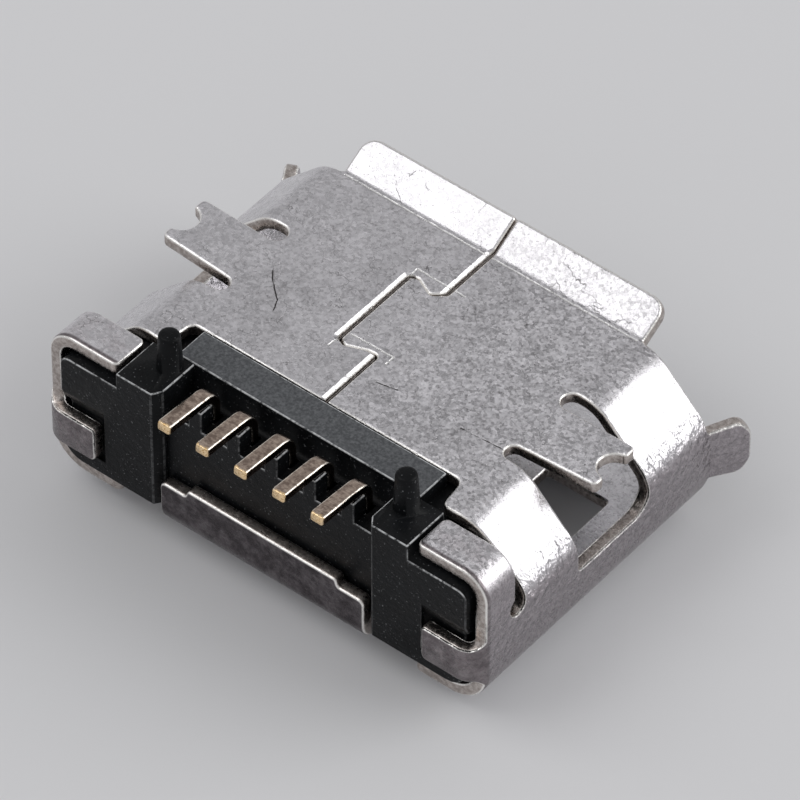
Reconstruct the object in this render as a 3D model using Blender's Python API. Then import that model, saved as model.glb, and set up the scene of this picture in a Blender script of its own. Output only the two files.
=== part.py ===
"""Micro USB socket, surface-mount type: a folded sheet shell, a moulded housing and five contacts.

The sizes below are in millimetres. They are measured from the board datum: the middle of the rear
edge of the face that lies on the circuit board. +Z is the board side, -Y is the mouth, and +X is
the side on which the seam's tongue lies. The board_datum empty brings the whole to metres and sets
it on the bottom centre of its box.
"""

import math

import bmesh
import bpy
from mathutils import Matrix, Vector

METRES = 1 / 1000
CLEARANCE = 0.03

# Shell: sheet and section
SHEET = 0.20
BODY_WIDTH = 7.46
BODY_HEIGHT = 2.39
SHOULDER_DROP = 0.90
BEND_RADIUS = 0.60
EAR_BEND_RADIUS = 0.42
EAR_RISE = 0.03
FOLD_RADIUS = 0.35
BLANK_CORNER = 0.10
SMALL_CORNER = 0.05
SHARP_CORNER = 0.03

# Shell: edges along Y
MOUTH_EDGE = -3.50
SHOULDER_REAR_TOP = 0.50
SHOULDER_REAR_SIDE = 0.41
EAR_FRONT = 0.65
EAR_REAR = 1.27
EAR_END = 2.55
NOTCH_HALF_WIDTH = 2.29
NOTCH_CORNER = 0.12
NOTCH_SLANT = 0.06
SHOULDER_CORNER = 0.20
SLIT_BOTTOM = -1.10
SLIT_HOLE_RADIUS = 0.165
COVER_REAR = 1.29
COVER_REAR_INNER_END = 2.54
FLAP_RELIEF_FRONT = 0.93

# Shell: seam between the two halves of the board face
SEAM_GAP = 0.03
TONGUE_OUT = 0.606
TONGUE_REAR = -1.06
TONGUE_FRONT = -2.48
TONGUE_FLARE = 0.07
TONGUE_NECK = 0.18
TONGUE_SHOULDER = 0.48
TONGUE_CORNER = 0.07

# Shell: lips round the mouth
LIP_ANGLE = math.radians(30)
LIP_BEND_RADIUS = 0.20
LIP_LENGTH = 0.57
LIP_CORNER = 0.25
BOARD_LIP_HALF_WIDTH = 2.57
COVER_LIP_HALF_WIDTH = 2.90
SIDE_LIP_TOP = -1.05
SIDE_LIP_BOTTOM = -1.90

# Shell: solder tabs and the windows that they are cut from
TAB_REACH = 3.70
TAB_REAR = -0.96
TAB_FRONT = -1.89
TAB_TAPER = 0.07
TAB_TIP_CORNER = 0.09
TAB_NOTCH_RADIUS = 0.235
SLOT_ROOT = 2.38
REAR_SLOT_WIDTH = 0.26
FRONT_SLOT_WIDTH = 0.30
WINDOW_SILL = -1.36
WINDOW_FRONT_CORNER = 0.30
WINDOW_REAR_CORNER = 0.07
LATCH_INNER = 1.75
LATCH_OUTER = 2.77
LATCH_FRONT = -2.55
LATCH_REAR = -1.35

# Shell: rear flap and retaining tabs
FLAP_HALF_WIDTH = 1.75
FLAP_REAR = 1.385
FLAP_TOP = -1.45
FLAP_STEP = 0.12
FLAP_STEP_AT = 1.27
FLAP_STEP_RUN = 0.04
RETAINER_REAR = 1.49
RETAINER_TOP = -1.22
RETAINER_BOTTOM = -1.83
RETAINER_END = 2.80
RETAINER_TOP_CORNER = 0.14
RETAINER_BOTTOM_CORNER = 0.07
RETAINER_TIP_CORNER = 0.12

# Housing
HOUSING_FRONT = -0.55
HOUSING_REAR = 1.37
WALL_REAR = FLAP_REAR - SHEET - CLEARANCE
STRIP_HALF_WIDTH = 2.07
STRIP_REAR = 0.575
STRIP_RISE = 0.02
PAD_OUTER = 2.483
PAD_INNER = FLAP_HALF_WIDTH + CLEARANCE
PAD_FRONT = 0.60
CORNER_CUT_WIDTH = 0.10
CORNER_CUT_DEPTH = 0.14
BLOCK_GAP = 0.07
POCKET_FLOOR = -0.46
RIB_TOP = -0.11
RETAINER_POCKET_SLOPE = 0.27
PEG_SPACING = 4.03
PEG_Y = 0.80
PEG_HEIGHT = 0.61
PEG_BASE_DIAMETER = 0.37
PEG_TOP_DIAMETER = 0.30
PEG_TOP_ROUNDING = 0.04
TONGUE_HALF_WIDTH = 1.75
TONGUE_TOP = -0.56
TONGUE_THICKNESS = 0.64
TONGUE_TIP = -3.20
TONGUE_TIP_CHAMFER = 0.12

# Contacts
CONTACT_COUNT = 5
CONTACT_PITCH = 0.65
CONTACT_THICKNESS = 0.15
TAIL_WIDTH = 0.22
TAIL_TOP = 0.15
TAIL_REAR = 1.785
TAIL_FALL = math.radians(5)
LEG_FRONT = 0.735
CONTACT_BEND_RADIUS = 0.30
BEAM_WIDTH = 0.38
BEAM_FRONT = -2.95
BEAM_PROUD = 0.02

ARC_STEP = math.radians(9)
MERGE = 1e-5


def new_collection(name, hidden=False):
    collection = bpy.data.collections.new(name)
    bpy.context.scene.collection.children.link(collection)
    collection.hide_render = hidden
    return collection


def add_object(name, mesh, collection):
    obj = bpy.data.objects.new(name, mesh)
    collection.objects.link(obj)
    return obj


def add_cutter(name, mesh, collection):
    obj = add_object(name, mesh, collection)
    obj.hide_render = True
    obj.display_type = "WIRE"
    return obj


def material(name, colour, roughness, metallic):
    made = bpy.data.materials.new(name)
    made.use_nodes = True
    shader = made.node_tree.nodes["Principled BSDF"]
    shader.inputs["Base Color"].default_value = (*colour, 1)
    shader.inputs["Roughness"].default_value = roughness
    shader.inputs["Metallic"].default_value = metallic
    return made


def rounded(corners):
    """The outline through (x, y, radius) corners, each rounded by an arc of that radius."""
    outline = []
    for i, (x, y, radius) in enumerate(corners):
        here = Vector((x, y))
        before = Vector(corners[i - 1][:2]) - here
        after = Vector(corners[(i + 1) % len(corners)][:2]) - here
        if radius <= 0:
            outline.append(here)
            continue
        opening = before.angle(after)
        reach = radius / math.tan(opening / 2)
        middle = here + (before.normalized() + after.normalized()).normalized() * (
            radius / math.sin(opening / 2)
        )
        start = here + before.normalized() * reach - middle
        turn = -(start.angle_signed(here + after.normalized() * reach - middle))
        steps = max(2, round(abs(turn) / ARC_STEP / 2))
        for step in range(steps + 1):
            outline.append(middle + Matrix.Rotation(turn * step / steps, 2) @ start)
    return outline


def arc(centre, radius, start, end):
    """Points on an arc, both ends included. Angles are in degrees."""
    steps = max(2, round(abs(math.radians(end - start)) / ARC_STEP / 2))
    angles = [math.radians(start + (end - start) * i / steps) for i in range(steps + 1)]
    return [Vector((centre[0] + radius * math.cos(a), centre[1] + radius * math.sin(a))) for a in angles]


def face_outward(shape):
    bmesh.ops.recalc_face_normals(shape, faces=shape.faces)
    if shape.calc_volume(signed=True) < 0:
        bmesh.ops.reverse_faces(shape, faces=shape.faces)


def filled_mesh(name, loops, half_thickness):
    """A slab from a filled 2D curve. Loops inside the first one are holes."""
    curve = bpy.data.curves.new(name, "CURVE")
    curve.dimensions = "2D"
    curve.fill_mode = "BOTH"
    curve.extrude = half_thickness
    for loop in loops:
        spline = curve.splines.new("POLY")
        spline.points.add(len(loop) - 1)
        for point, place in zip(spline.points, loop):
            point.co = (place[0], place[1], 0, 1)
        spline.use_cyclic_u = True
    holder = bpy.data.objects.new(name, curve)
    bpy.context.scene.collection.objects.link(holder)
    evaluated = holder.evaluated_get(bpy.context.evaluated_depsgraph_get())
    mesh = bpy.data.meshes.new_from_object(evaluated)
    bpy.data.objects.remove(holder)
    bpy.data.curves.remove(curve)
    shape = bmesh.new()
    shape.from_mesh(mesh)
    bmesh.ops.remove_doubles(shape, verts=shape.verts, dist=MERGE)
    face_outward(shape)
    shape.to_mesh(mesh)
    shape.free()
    return mesh


def box_mesh(name, low, high):
    shape = bmesh.new()
    bmesh.ops.create_cube(shape, size=1)
    size = Vector(high) - Vector(low)
    middle = (Vector(high) + Vector(low)) / 2
    stretch = Matrix.Diagonal((*size, 1))
    bmesh.ops.transform(shape, matrix=Matrix.Translation(middle) @ stretch, verts=shape.verts)
    mesh = bpy.data.meshes.new(name)
    shape.to_mesh(mesh)
    shape.free()
    return mesh


def prism_mesh(name, outline, front, rear):
    """An outline in X and Z, carried along Y from front to rear."""
    mesh = filled_mesh(name, [outline], (rear - front) / 2)
    turn = Matrix.Rotation(math.pi / 2, 4, "X")
    mesh.transform(Matrix.Translation((0, (front + rear) / 2, 0)) @ turn)
    return mesh


def boolean(obj, other, operation):
    modifier = obj.modifiers.new(f"{operation.lower()} {other.name}", "BOOLEAN")
    modifier.operation = operation
    modifier.solver = "EXACT"
    modifier.object = other


def share_of_bend(share, angle):
    """The facet that a point of a bend lies on: its two ends, as shares of the bend, and the point between."""
    steps = max(2, math.ceil(abs(angle) / ARC_STEP))
    step = min(int(share * steps), steps - 1)
    return step / steps, (step + 1) / steps, share * steps - step


class Path:
    """The middle line of a bent strip: straight runs and arcs, read by distance along it."""

    def __init__(self, start, heading, runs):
        self.runs = []
        self.length = 0.0
        place, direction = Vector(start), Vector(heading).normalized()
        for size, angle in runs:
            self.runs.append((size, angle, place, direction, self.length))
            self.length += size * abs(angle) if angle else size
            place, direction = self.end_of(size, angle, place, direction, 1.0)

    @staticmethod
    def end_of(size, angle, place, direction, share):
        if not angle:
            return place + direction * size * share, direction
        middle = place + Vector((-direction.y, direction.x)) * math.copysign(size, angle)
        turn = Matrix.Rotation(angle * share, 2)
        return middle + turn @ (place - middle), turn @ direction

    def start_of(self, run):
        return self.runs[run][4]

    def at(self, distance):
        """(point, heading) there, facet by facet in a bend. Past the end the path runs straight on."""
        size, angle, place, direction, start = self.runs[0]
        for run in self.runs:
            if distance >= run[4]:
                size, angle, place, direction, start = run
        if not angle:
            return place + direction * (distance - start), direction
        before, after, between = share_of_bend((distance - start) / (size * abs(angle)), angle)
        first = self.end_of(size, angle, place, direction, before)
        second = self.end_of(size, angle, place, direction, after)
        return first[0].lerp(second[0], between), first[1].lerp(second[1], between)

    def scores(self):
        """The distances at which a flat blank needs an edge so that it can bend."""
        bends = [(start, size, angle) for size, angle, _, _, start in self.runs if angle]
        return [place for bend in bends for place in bend_scores(*bend)]


def bend_scores(start, radius, angle):
    steps = max(2, math.ceil(abs(angle) / ARC_STEP))
    return [start + radius * abs(angle) * i / steps for i in range(steps + 1)]


def bent_sheet(name, loops, thickness, scores, fold):
    """A blank cut to the outlines, given edges along the scores (axis, place, region), and folded."""
    mesh = filled_mesh(name, loops, thickness / 2)
    shape = bmesh.new()
    shape.from_mesh(mesh)
    for axis, place, _ in scores:
        everything = shape.verts[:] + shape.edges[:] + shape.faces[:]
        spot, normal = Vector((0, 0, 0)), Vector((0, 0, 0))
        spot[axis], normal[axis] = place, 1
        bmesh.ops.bisect_plane(shape, geom=everything, dist=MERGE, plane_co=spot, plane_no=normal)

    def on_score(edge):
        ends = [vert.co for vert in edge.verts]
        middle = (ends[0] + ends[1]) / 2
        return any(
            abs(ends[0][axis] - place) < 2 * MERGE
            and abs(ends[1][axis] - place) < 2 * MERGE
            and region(abs(middle.x), middle.y)
            for axis, place, region in scores
        )

    spare = [edge for edge in shape.edges if edge.calc_face_angle() < 0.01 and not on_score(edge)]
    bmesh.ops.dissolve_edges(shape, edges=spare, use_verts=True)
    for vert in shape.verts:
        vert.co = fold(vert.co)
    face_outward(shape)
    shape.to_mesh(mesh)
    shape.free()
    return mesh


HALF_WIDTH = BODY_WIDTH / 2
HALF_SHEET = SHEET / 2
MIDDLE_BEND = BEND_RADIUS - HALF_SHEET
SHOULDER_TANGENT = BEND_RADIUS * math.tan(math.radians(22.5))
SHOULDER_SLANT = SHOULDER_DROP * math.sqrt(2) - 2 * SHOULDER_TANGENT
WALL_BOTTOM = BEND_RADIUS - BODY_HEIGHT
WALL_TOP = -SHOULDER_DROP - SHOULDER_TANGENT
FACE_HALF_WIDTH = HALF_WIDTH - SHOULDER_DROP - SHOULDER_TANGENT

# From the middle of the cover plate, round the wide corner, up the wall and over the board face
BODY_PATH = Path(
    (0, HALF_SHEET - BODY_HEIGHT),
    (1, 0),
    [
        (HALF_WIDTH - BEND_RADIUS, 0),
        (MIDDLE_BEND, math.pi / 2),
        (WALL_TOP - WALL_BOTTOM, 0),
        (MIDDLE_BEND, math.pi / 4),
        (SHOULDER_SLANT, 0),
        (MIDDLE_BEND, math.pi / 4),
        (FACE_HALF_WIDTH, 0),
    ],
)
EAR_PATH = Path(
    (0, HALF_SHEET - BODY_HEIGHT),
    (1, 0),
    [
        (HALF_WIDTH - BEND_RADIUS, 0),
        (MIDDLE_BEND, math.pi / 2),
        (EAR_RISE - EAR_BEND_RADIUS - WALL_BOTTOM, 0),
        (EAR_BEND_RADIUS - HALF_SHEET, math.pi / 2),
        (HALF_WIDTH - EAR_BEND_RADIUS - EAR_END, 0),
    ],
)
SEAM = BODY_PATH.length
WALL_START = BODY_PATH.start_of(2)


def on_wall(z):
    """The distance along the section's path at which the side wall has this height."""
    return WALL_START + z - WALL_BOTTOM


def on_face(x):
    """The distance along the section's path of a point on the board face."""
    return SEAM - x


def seam_line():
    """The seam from the rear edge to the mouth: straight, round the tongue, and straight."""
    flare = TONGUE_FLARE
    corners = [
        (0, 0, 0),
        (0, TONGUE_REAR - flare / 2, TONGUE_CORNER),
        (TONGUE_NECK, TONGUE_REAR - flare / 4, TONGUE_CORNER),
        (TONGUE_SHOULDER, TONGUE_REAR + flare * 1.4, TONGUE_CORNER),
        (TONGUE_OUT, TONGUE_REAR + flare / 2, SMALL_CORNER),
        (TONGUE_OUT, TONGUE_FRONT - flare / 2, SMALL_CORNER),
        (TONGUE_SHOULDER, TONGUE_FRONT - flare, TONGUE_CORNER),
        (TONGUE_NECK, TONGUE_FRONT + flare, TONGUE_CORNER),
        (0, TONGUE_FRONT - flare, TONGUE_CORNER),
        (0, MOUTH_EDGE, 0),
    ]
    return rounded(corners)


def fold_length(radius, run):
    return (radius - HALF_SHEET) * math.pi / 2 + run


FLAP_FOLD = FLAP_REAR - FOLD_RADIUS
FLAP_LENGTH = fold_length(FOLD_RADIUS, FLAP_TOP + BODY_HEIGHT - FOLD_RADIUS)
RETAINER_FOLD = RETAINER_REAR - FOLD_RADIUS
RETAINER_LENGTH = fold_length(FOLD_RADIUS, HALF_WIDTH - FOLD_RADIUS - RETAINER_END)
LIP_FLAT_LENGTH = LIP_BEND_RADIUS * LIP_ANGLE + LIP_LENGTH
LIP_EDGE = MOUTH_EDGE - LIP_FLAT_LENGTH


def half_outline(side):
    """The blank's outline on one side, from the middle of the flap round to the middle of the mouth."""
    flap_edge = FLAP_FOLD + FLAP_LENGTH
    slit_end = Vector((on_wall(SLIT_BOTTOM) + SLIT_HOLE_RADIUS, SHOULDER_REAR_SIDE + SLIT_HOLE_RADIUS))
    slit_start = math.asin((EAR_FRONT - slit_end.y) / SLIT_HOLE_RADIUS)
    rear = rounded(
        [
            (0, flap_edge, 0),
            (FLAP_STEP_AT, flap_edge, SHARP_CORNER),
            (FLAP_STEP_AT + FLAP_STEP_RUN, flap_edge - FLAP_STEP, SHARP_CORNER),
            (FLAP_HALF_WIDTH, flap_edge - FLAP_STEP, BLANK_CORNER),
            (FLAP_HALF_WIDTH, FLAP_RELIEF_FRONT, BLANK_CORNER),
            (COVER_REAR_INNER_END, FLAP_RELIEF_FRONT, BLANK_CORNER),
            (COVER_REAR_INNER_END, COVER_REAR, BLANK_CORNER),
            (on_wall(RETAINER_BOTTOM), COVER_REAR, RETAINER_BOTTOM_CORNER),
            (on_wall(RETAINER_BOTTOM), RETAINER_FOLD + RETAINER_LENGTH, RETAINER_TIP_CORNER),
            (on_wall(RETAINER_TOP), RETAINER_FOLD + RETAINER_LENGTH, SMALL_CORNER),
            (on_wall(RETAINER_TOP), EAR_REAR, RETAINER_TOP_CORNER),
            (EAR_PATH.length, EAR_REAR, BLANK_CORNER),
            (EAR_PATH.length, EAR_FRONT, BLANK_CORNER),
            (slit_end.x, EAR_FRONT, 0),
        ]
    )[:-1]
    slit = arc(slit_end, SLIT_HOLE_RADIUS, math.degrees(slit_start), 270)
    face = rounded(
        [
            (slit_end.x, SHOULDER_REAR_SIDE, 0),
            (on_face(FACE_HALF_WIDTH + SHOULDER_SLANT), SHOULDER_REAR_SIDE, SHOULDER_CORNER),
            (on_face(FACE_HALF_WIDTH), SHOULDER_REAR_TOP, SHOULDER_CORNER),
            (on_face(NOTCH_HALF_WIDTH + NOTCH_SLANT), SHOULDER_REAR_TOP, NOTCH_CORNER),
            (on_face(NOTCH_HALF_WIDTH), 0, NOTCH_CORNER),
            (on_face(0), 0, 0),
        ]
    )[1:-1]
    seam = [Vector((SEAM - side * point.x - SEAM_GAP / 2, point.y)) for point in seam_line()]
    mouth = rounded(
        [
            (SEAM - SEAM_GAP / 2, MOUTH_EDGE, 0),
            (SEAM - SEAM_GAP / 2, LIP_EDGE, SMALL_CORNER),
            (on_face(BOARD_LIP_HALF_WIDTH), LIP_EDGE, LIP_CORNER),
            (on_face(BOARD_LIP_HALF_WIDTH), MOUTH_EDGE, SHARP_CORNER),
            (on_wall(SIDE_LIP_TOP), MOUTH_EDGE, SHARP_CORNER),
            (on_wall(SIDE_LIP_TOP), LIP_EDGE, LIP_CORNER),
            (on_wall(SIDE_LIP_BOTTOM), LIP_EDGE, LIP_CORNER),
            (on_wall(SIDE_LIP_BOTTOM), MOUTH_EDGE, SHARP_CORNER),
            (COVER_LIP_HALF_WIDTH, MOUTH_EDGE, SHARP_CORNER),
            (COVER_LIP_HALF_WIDTH, LIP_EDGE, LIP_CORNER),
            (0, LIP_EDGE, 0),
        ]
    )[1:]
    return [Vector((side * point.x, point.y)) for point in rear + slit + face + seam + mouth]


def window_outline(side):
    """The hole in one shoulder, with the solder tab left standing in it."""
    rear_edge = TAB_REAR + REAR_SLOT_WIDTH
    front_edge = TAB_FRONT - FRONT_SLOT_WIDTH
    sill = on_wall(WINDOW_SILL)
    tab_middle = (TAB_REAR + TAB_FRONT) / 2 - TAB_TAPER / 2
    rear_middle = (on_face(SLOT_ROOT + REAR_SLOT_WIDTH / 2), (TAB_REAR + rear_edge) / 2)
    rear_slot = arc(rear_middle, REAR_SLOT_WIDTH / 2, 90, -90)
    front_middle = (on_face(SLOT_ROOT + FRONT_SLOT_WIDTH / 2), (TAB_FRONT + front_edge) / 2)
    front_slot = arc(front_middle, FRONT_SLOT_WIDTH / 2, 90, -90)
    tip = on_face(TAB_REACH)
    tip_rear = rounded(
        [
            (on_face(SLOT_ROOT), TAB_REAR, 0),
            (tip, TAB_REAR - TAB_TAPER, TAB_TIP_CORNER),
            (tip, tab_middle + TAB_NOTCH_RADIUS, SHARP_CORNER),
            (tip + TAB_NOTCH_RADIUS, tab_middle + TAB_NOTCH_RADIUS, 0),
        ]
    )[1:-1]
    notch = arc((tip, tab_middle), TAB_NOTCH_RADIUS, 75, -75)
    tip_front = rounded(
        [
            (tip + TAB_NOTCH_RADIUS, tab_middle - TAB_NOTCH_RADIUS, 0),
            (tip, tab_middle - TAB_NOTCH_RADIUS, SHARP_CORNER),
            (tip, TAB_FRONT - TAB_TAPER / 3, TAB_TIP_CORNER),
            (on_face(SLOT_ROOT), TAB_FRONT, 0),
        ]
    )[1:-1]
    lower = rounded(
        [
            (on_face(SLOT_ROOT), front_edge, 0),
            (sill, front_edge, WINDOW_FRONT_CORNER),
            (sill, rear_edge, WINDOW_REAR_CORNER),
            (on_face(SLOT_ROOT), rear_edge, 0),
        ]
    )[1:-1]
    points = rear_slot + tip_rear + notch + tip_front + front_slot + lower
    return [Vector((side * point.x, point.y)) for point in points]


def latch_outline(side):
    corners = [
        (side * LATCH_INNER, LATCH_FRONT, SMALL_CORNER),
        (side * LATCH_OUTER, LATCH_FRONT, SMALL_CORNER),
        (side * LATCH_OUTER, LATCH_REAR, SMALL_CORNER),
        (side * LATCH_INNER, LATCH_REAR, SMALL_CORNER),
    ]
    return rounded(corners)


def turned(distance, height, radius, angle):
    """(along, across) of a point this far past the start of a bend, and this far outside its middle."""
    share = min(distance / (radius * angle), 1.0)
    before, after, between = share_of_bend(share, angle)
    along = across = 0.0
    for step, weight in ((before, 1 - between), (after, between)):
        bent = angle * step
        along += weight * (radius * math.sin(bent) - height * math.sin(bent))
        across += weight * (radius * (1 - math.cos(bent)) + height * math.cos(bent))
    rest = distance - radius * angle * share
    return along + rest * math.cos(angle), across + rest * math.sin(angle)


def in_tab(u, v):
    return u > on_face(TAB_REACH) - HALF_SHEET and TAB_FRONT - TAB_TAPER < v < TAB_REAR + CLEARANCE


def in_flap(u, v):
    return u < FLAP_HALF_WIDTH + CLEARANCE and v > FLAP_FOLD - CLEARANCE


def retainer_share(u):
    """How far the sheet follows a retaining tab's fold: wholly in the tab, and less past its corners."""
    above = (u - on_wall(RETAINER_TOP)) / RETAINER_TOP_CORNER
    below = (on_wall(RETAINER_BOTTOM) - u) / RETAINER_BOTTOM_CORNER
    left = 1 - min(max(above, below, 0), 1)
    return left * left * (3 - 2 * left)


def in_retainer(u, v):
    return retainer_share(u) > 0 and v > RETAINER_FOLD - CLEARANCE


def in_ear(u, v):
    return v > (SHOULDER_REAR_TOP + EAR_FRONT) / 2 and u > WALL_START + HALF_SHEET


def folded(point):
    """Where a point of the flat shell lies once the sheet is folded."""
    side = math.copysign(1, point.x)
    u, v, height = abs(point.x), point.y, point.z
    if in_tab(u, v):
        return Vector((side * (SEAM - u), v, height - HALF_SHEET))
    place, heading = (EAR_PATH if in_ear(u, v) else BODY_PATH).at(u)
    outward = Vector((heading.y, -heading.x))
    inside_radius = FOLD_RADIUS - HALF_SHEET
    if v < MOUTH_EDGE:
        along, across = turned(MOUTH_EDGE - v, height, LIP_BEND_RADIUS, LIP_ANGLE)
        v, height = MOUTH_EDGE - along, across
    elif in_flap(u, v) and v > FLAP_FOLD:
        along, across = turned(v - FLAP_FOLD, -height, inside_radius, math.pi / 2)
        v, height = FLAP_FOLD + along, -across
    elif in_retainer(u, v) and v > RETAINER_FOLD:
        along, across = turned(v - RETAINER_FOLD, -height, inside_radius, math.pi / 2)
        v, height = Vector((v, height)).lerp((RETAINER_FOLD + along, -across), retainer_share(u))
    place = place + outward * height
    return Vector((side * place.x, v, place.y))


def corner_scores(edge, radius):
    """Scores through the points of a rounded corner, so that the sheet beside it can twist."""
    steps = round(math.pi / 2 / ARC_STEP / 2)
    return [edge + radius * (1 - math.cos(math.pi / 2 * i / steps)) for i in range(steps + 1)]


def shell_scores():
    fold_middle = FOLD_RADIUS - HALF_SHEET
    scores = []
    for side in (1, -1):
        for u in BODY_PATH.scores():
            scores.append((0, side * u, lambda u, v: not in_ear(u, v)))
        for u in EAR_PATH.scores():
            scores.append((0, side * u, in_ear))
        for u in corner_scores(on_wall(RETAINER_TOP), RETAINER_TOP_CORNER):
            scores.append((0, side * u, lambda u, v: v > RETAINER_FOLD))
        for u in corner_scores(on_wall(RETAINER_BOTTOM), -RETAINER_BOTTOM_CORNER):
            scores.append((0, side * u, lambda u, v: v > RETAINER_FOLD))
    for v in bend_scores(-MOUTH_EDGE, LIP_BEND_RADIUS, LIP_ANGLE):
        scores.append((1, -v, lambda u, v: True))
    for v in bend_scores(FLAP_FOLD, fold_middle, math.pi / 2):
        scores.append((1, v, in_flap))
    for v in bend_scores(RETAINER_FOLD, fold_middle, math.pi / 2):
        scores.append((1, v, in_retainer))
    return scores


def make_shell(collection, finish):
    right, left = half_outline(1), half_outline(-1)
    outer = right[:-1] + left[::-1][:-1]
    holes = [outline(side) for side in (1, -1) for outline in (window_outline, latch_outline)]
    mesh = bent_sheet("shell", [outer, *holes], SHEET, shell_scores(), folded)
    mesh.shade_smooth()
    mesh.set_sharp_from_angle(angle=math.radians(30))
    mesh.materials.append(finish)
    return add_object("shell", mesh, collection)


def section(inset, top_radius, top_drop):
    """The outline this far inside the shell's outer face. A zero drop gives the ear's square corner."""
    low, high = BEND_RADIUS - inset, top_radius - inset
    right = arc((HALF_WIDTH - BEND_RADIUS, WALL_BOTTOM), low, -90, 0)
    if top_drop:
        tangent = top_radius * math.tan(math.radians(22.5))
        right += arc((HALF_WIDTH - top_radius, -top_drop - tangent), high, 0, 45)
        right += arc((HALF_WIDTH - top_drop - tangent, -top_radius), high, 45, 90)
    else:
        right += arc((HALF_WIDTH - top_radius, -top_radius), high, 0, 90)
    return right + [Vector((-point.x, point.y)) for point in reversed(right)]


def tongue_mesh():
    low = TONGUE_TOP - TONGUE_THICKNESS
    chamfer = TONGUE_TIP_CHAMFER
    outline = [
        (HOUSING_FRONT + SHEET, low),
        (HOUSING_FRONT + SHEET, TONGUE_TOP),
        (TONGUE_TIP + chamfer, TONGUE_TOP),
        (TONGUE_TIP, TONGUE_TOP - chamfer),
        (TONGUE_TIP, low + chamfer),
        (TONGUE_TIP + chamfer, low),
    ]
    mesh = filled_mesh("tongue", [outline], TONGUE_HALF_WIDTH)
    mesh.transform(Matrix(((0, 0, 1, 0), (1, 0, 0, 0), (0, 1, 0, 0), (0, 0, 0, 1))))
    return mesh


def pad_mesh(side):
    """A stand-off pad, whose front runs on beside the pocket into the strip."""
    outline = [
        (PAD_INNER, STRIP_REAR - CLEARANCE),
        (PAD_INNER, HOUSING_REAR),
        (PAD_OUTER, HOUSING_REAR),
        (PAD_OUTER, PAD_FRONT),
        (STRIP_HALF_WIDTH, PAD_FRONT),
        (STRIP_HALF_WIDTH - CLEARANCE, STRIP_REAR - CLEARANCE),
    ]
    mesh = filled_mesh("pad", [[(side * x, y) for x, y in outline]], -POCKET_FLOOR / 2)
    mesh.transform(Matrix.Translation((0, 0, POCKET_FLOOR / 2)))
    return mesh


def rear_recess_mesh():
    """Room for the flap in the housing's rear, with cut corners that run down the whole height."""
    past = HOUSING_REAR + SHEET
    half = [
        (PAD_INNER, WALL_REAR),
        (PAD_INNER, HOUSING_REAR - CORNER_CUT_DEPTH),
        (PAD_INNER + CORNER_CUT_WIDTH, HOUSING_REAR),
        (PAD_INNER + CORNER_CUT_WIDTH, past),
    ]
    outline = half + [(-x, y) for x, y in reversed(half)]
    mesh = filled_mesh("rear_recess", [outline], (BODY_HEIGHT + SHEET) / 2)
    mesh.transform(Matrix.Translation((0, 0, (SHEET - BODY_HEIGHT) / 2)))
    return mesh


def peg_mesh(x):
    shape = bmesh.new()
    depth = PEG_HEIGHT - POCKET_FLOOR / 2
    growth = (PEG_BASE_DIAMETER - PEG_TOP_DIAMETER) / PEG_HEIGHT
    bmesh.ops.create_cone(
        shape,
        cap_ends=True,
        segments=32,
        radius1=(PEG_TOP_DIAMETER + growth * depth) / 2,
        radius2=PEG_TOP_DIAMETER / 2,
        depth=depth,
    )
    rim = [edge for edge in shape.edges if all(vert.co.z > 0 for vert in edge.verts)]
    bmesh.ops.bevel(shape, geom=rim, offset=PEG_TOP_ROUNDING, segments=2, affect="EDGES", profile=0.5)
    bmesh.ops.translate(shape, vec=(x, PEG_Y, PEG_HEIGHT - depth / 2), verts=shape.verts)
    mesh = bpy.data.meshes.new("peg")
    shape.to_mesh(mesh)
    shape.free()
    return mesh


def retainer_pocket_mesh(side):
    """Room in the housing's rear for a retaining tab, with a sloped top."""
    face = RETAINER_REAR - SHEET - CLEARANCE
    slope = RETAINER_POCKET_SLOPE
    past = HOUSING_REAR + SHEET
    outline = [
        (face, RETAINER_TOP + CLEARANCE),
        (HOUSING_REAR, RETAINER_TOP + CLEARANCE + slope),
        (past, RETAINER_TOP + CLEARANCE + slope),
        (past, RETAINER_BOTTOM - CLEARANCE),
        (face, RETAINER_BOTTOM - CLEARANCE),
    ]
    inner, outer = RETAINER_END - 3 * CLEARANCE, HALF_WIDTH + SHEET
    mesh = filled_mesh("retainer_pocket", [outline], (outer - inner) / 2)
    middle = side * (inner + outer) / 2
    mesh.transform(Matrix(((0, 0, 1, middle), (1, 0, 0, 0), (0, 1, 0, 0), (0, 0, 0, 1))))
    return mesh


def contact_places():
    middle = (CONTACT_COUNT - 1) / 2
    return [(middle - i) * CONTACT_PITCH for i in range(CONTACT_COUNT)]


BEAM_LOW = TONGUE_TOP - TONGUE_THICKNESS - BEAM_PROUD
BEAM_TOP = BEAM_LOW + CONTACT_THICKNESS
LEG_REAR = LEG_FRONT + CONTACT_THICKNESS


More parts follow.
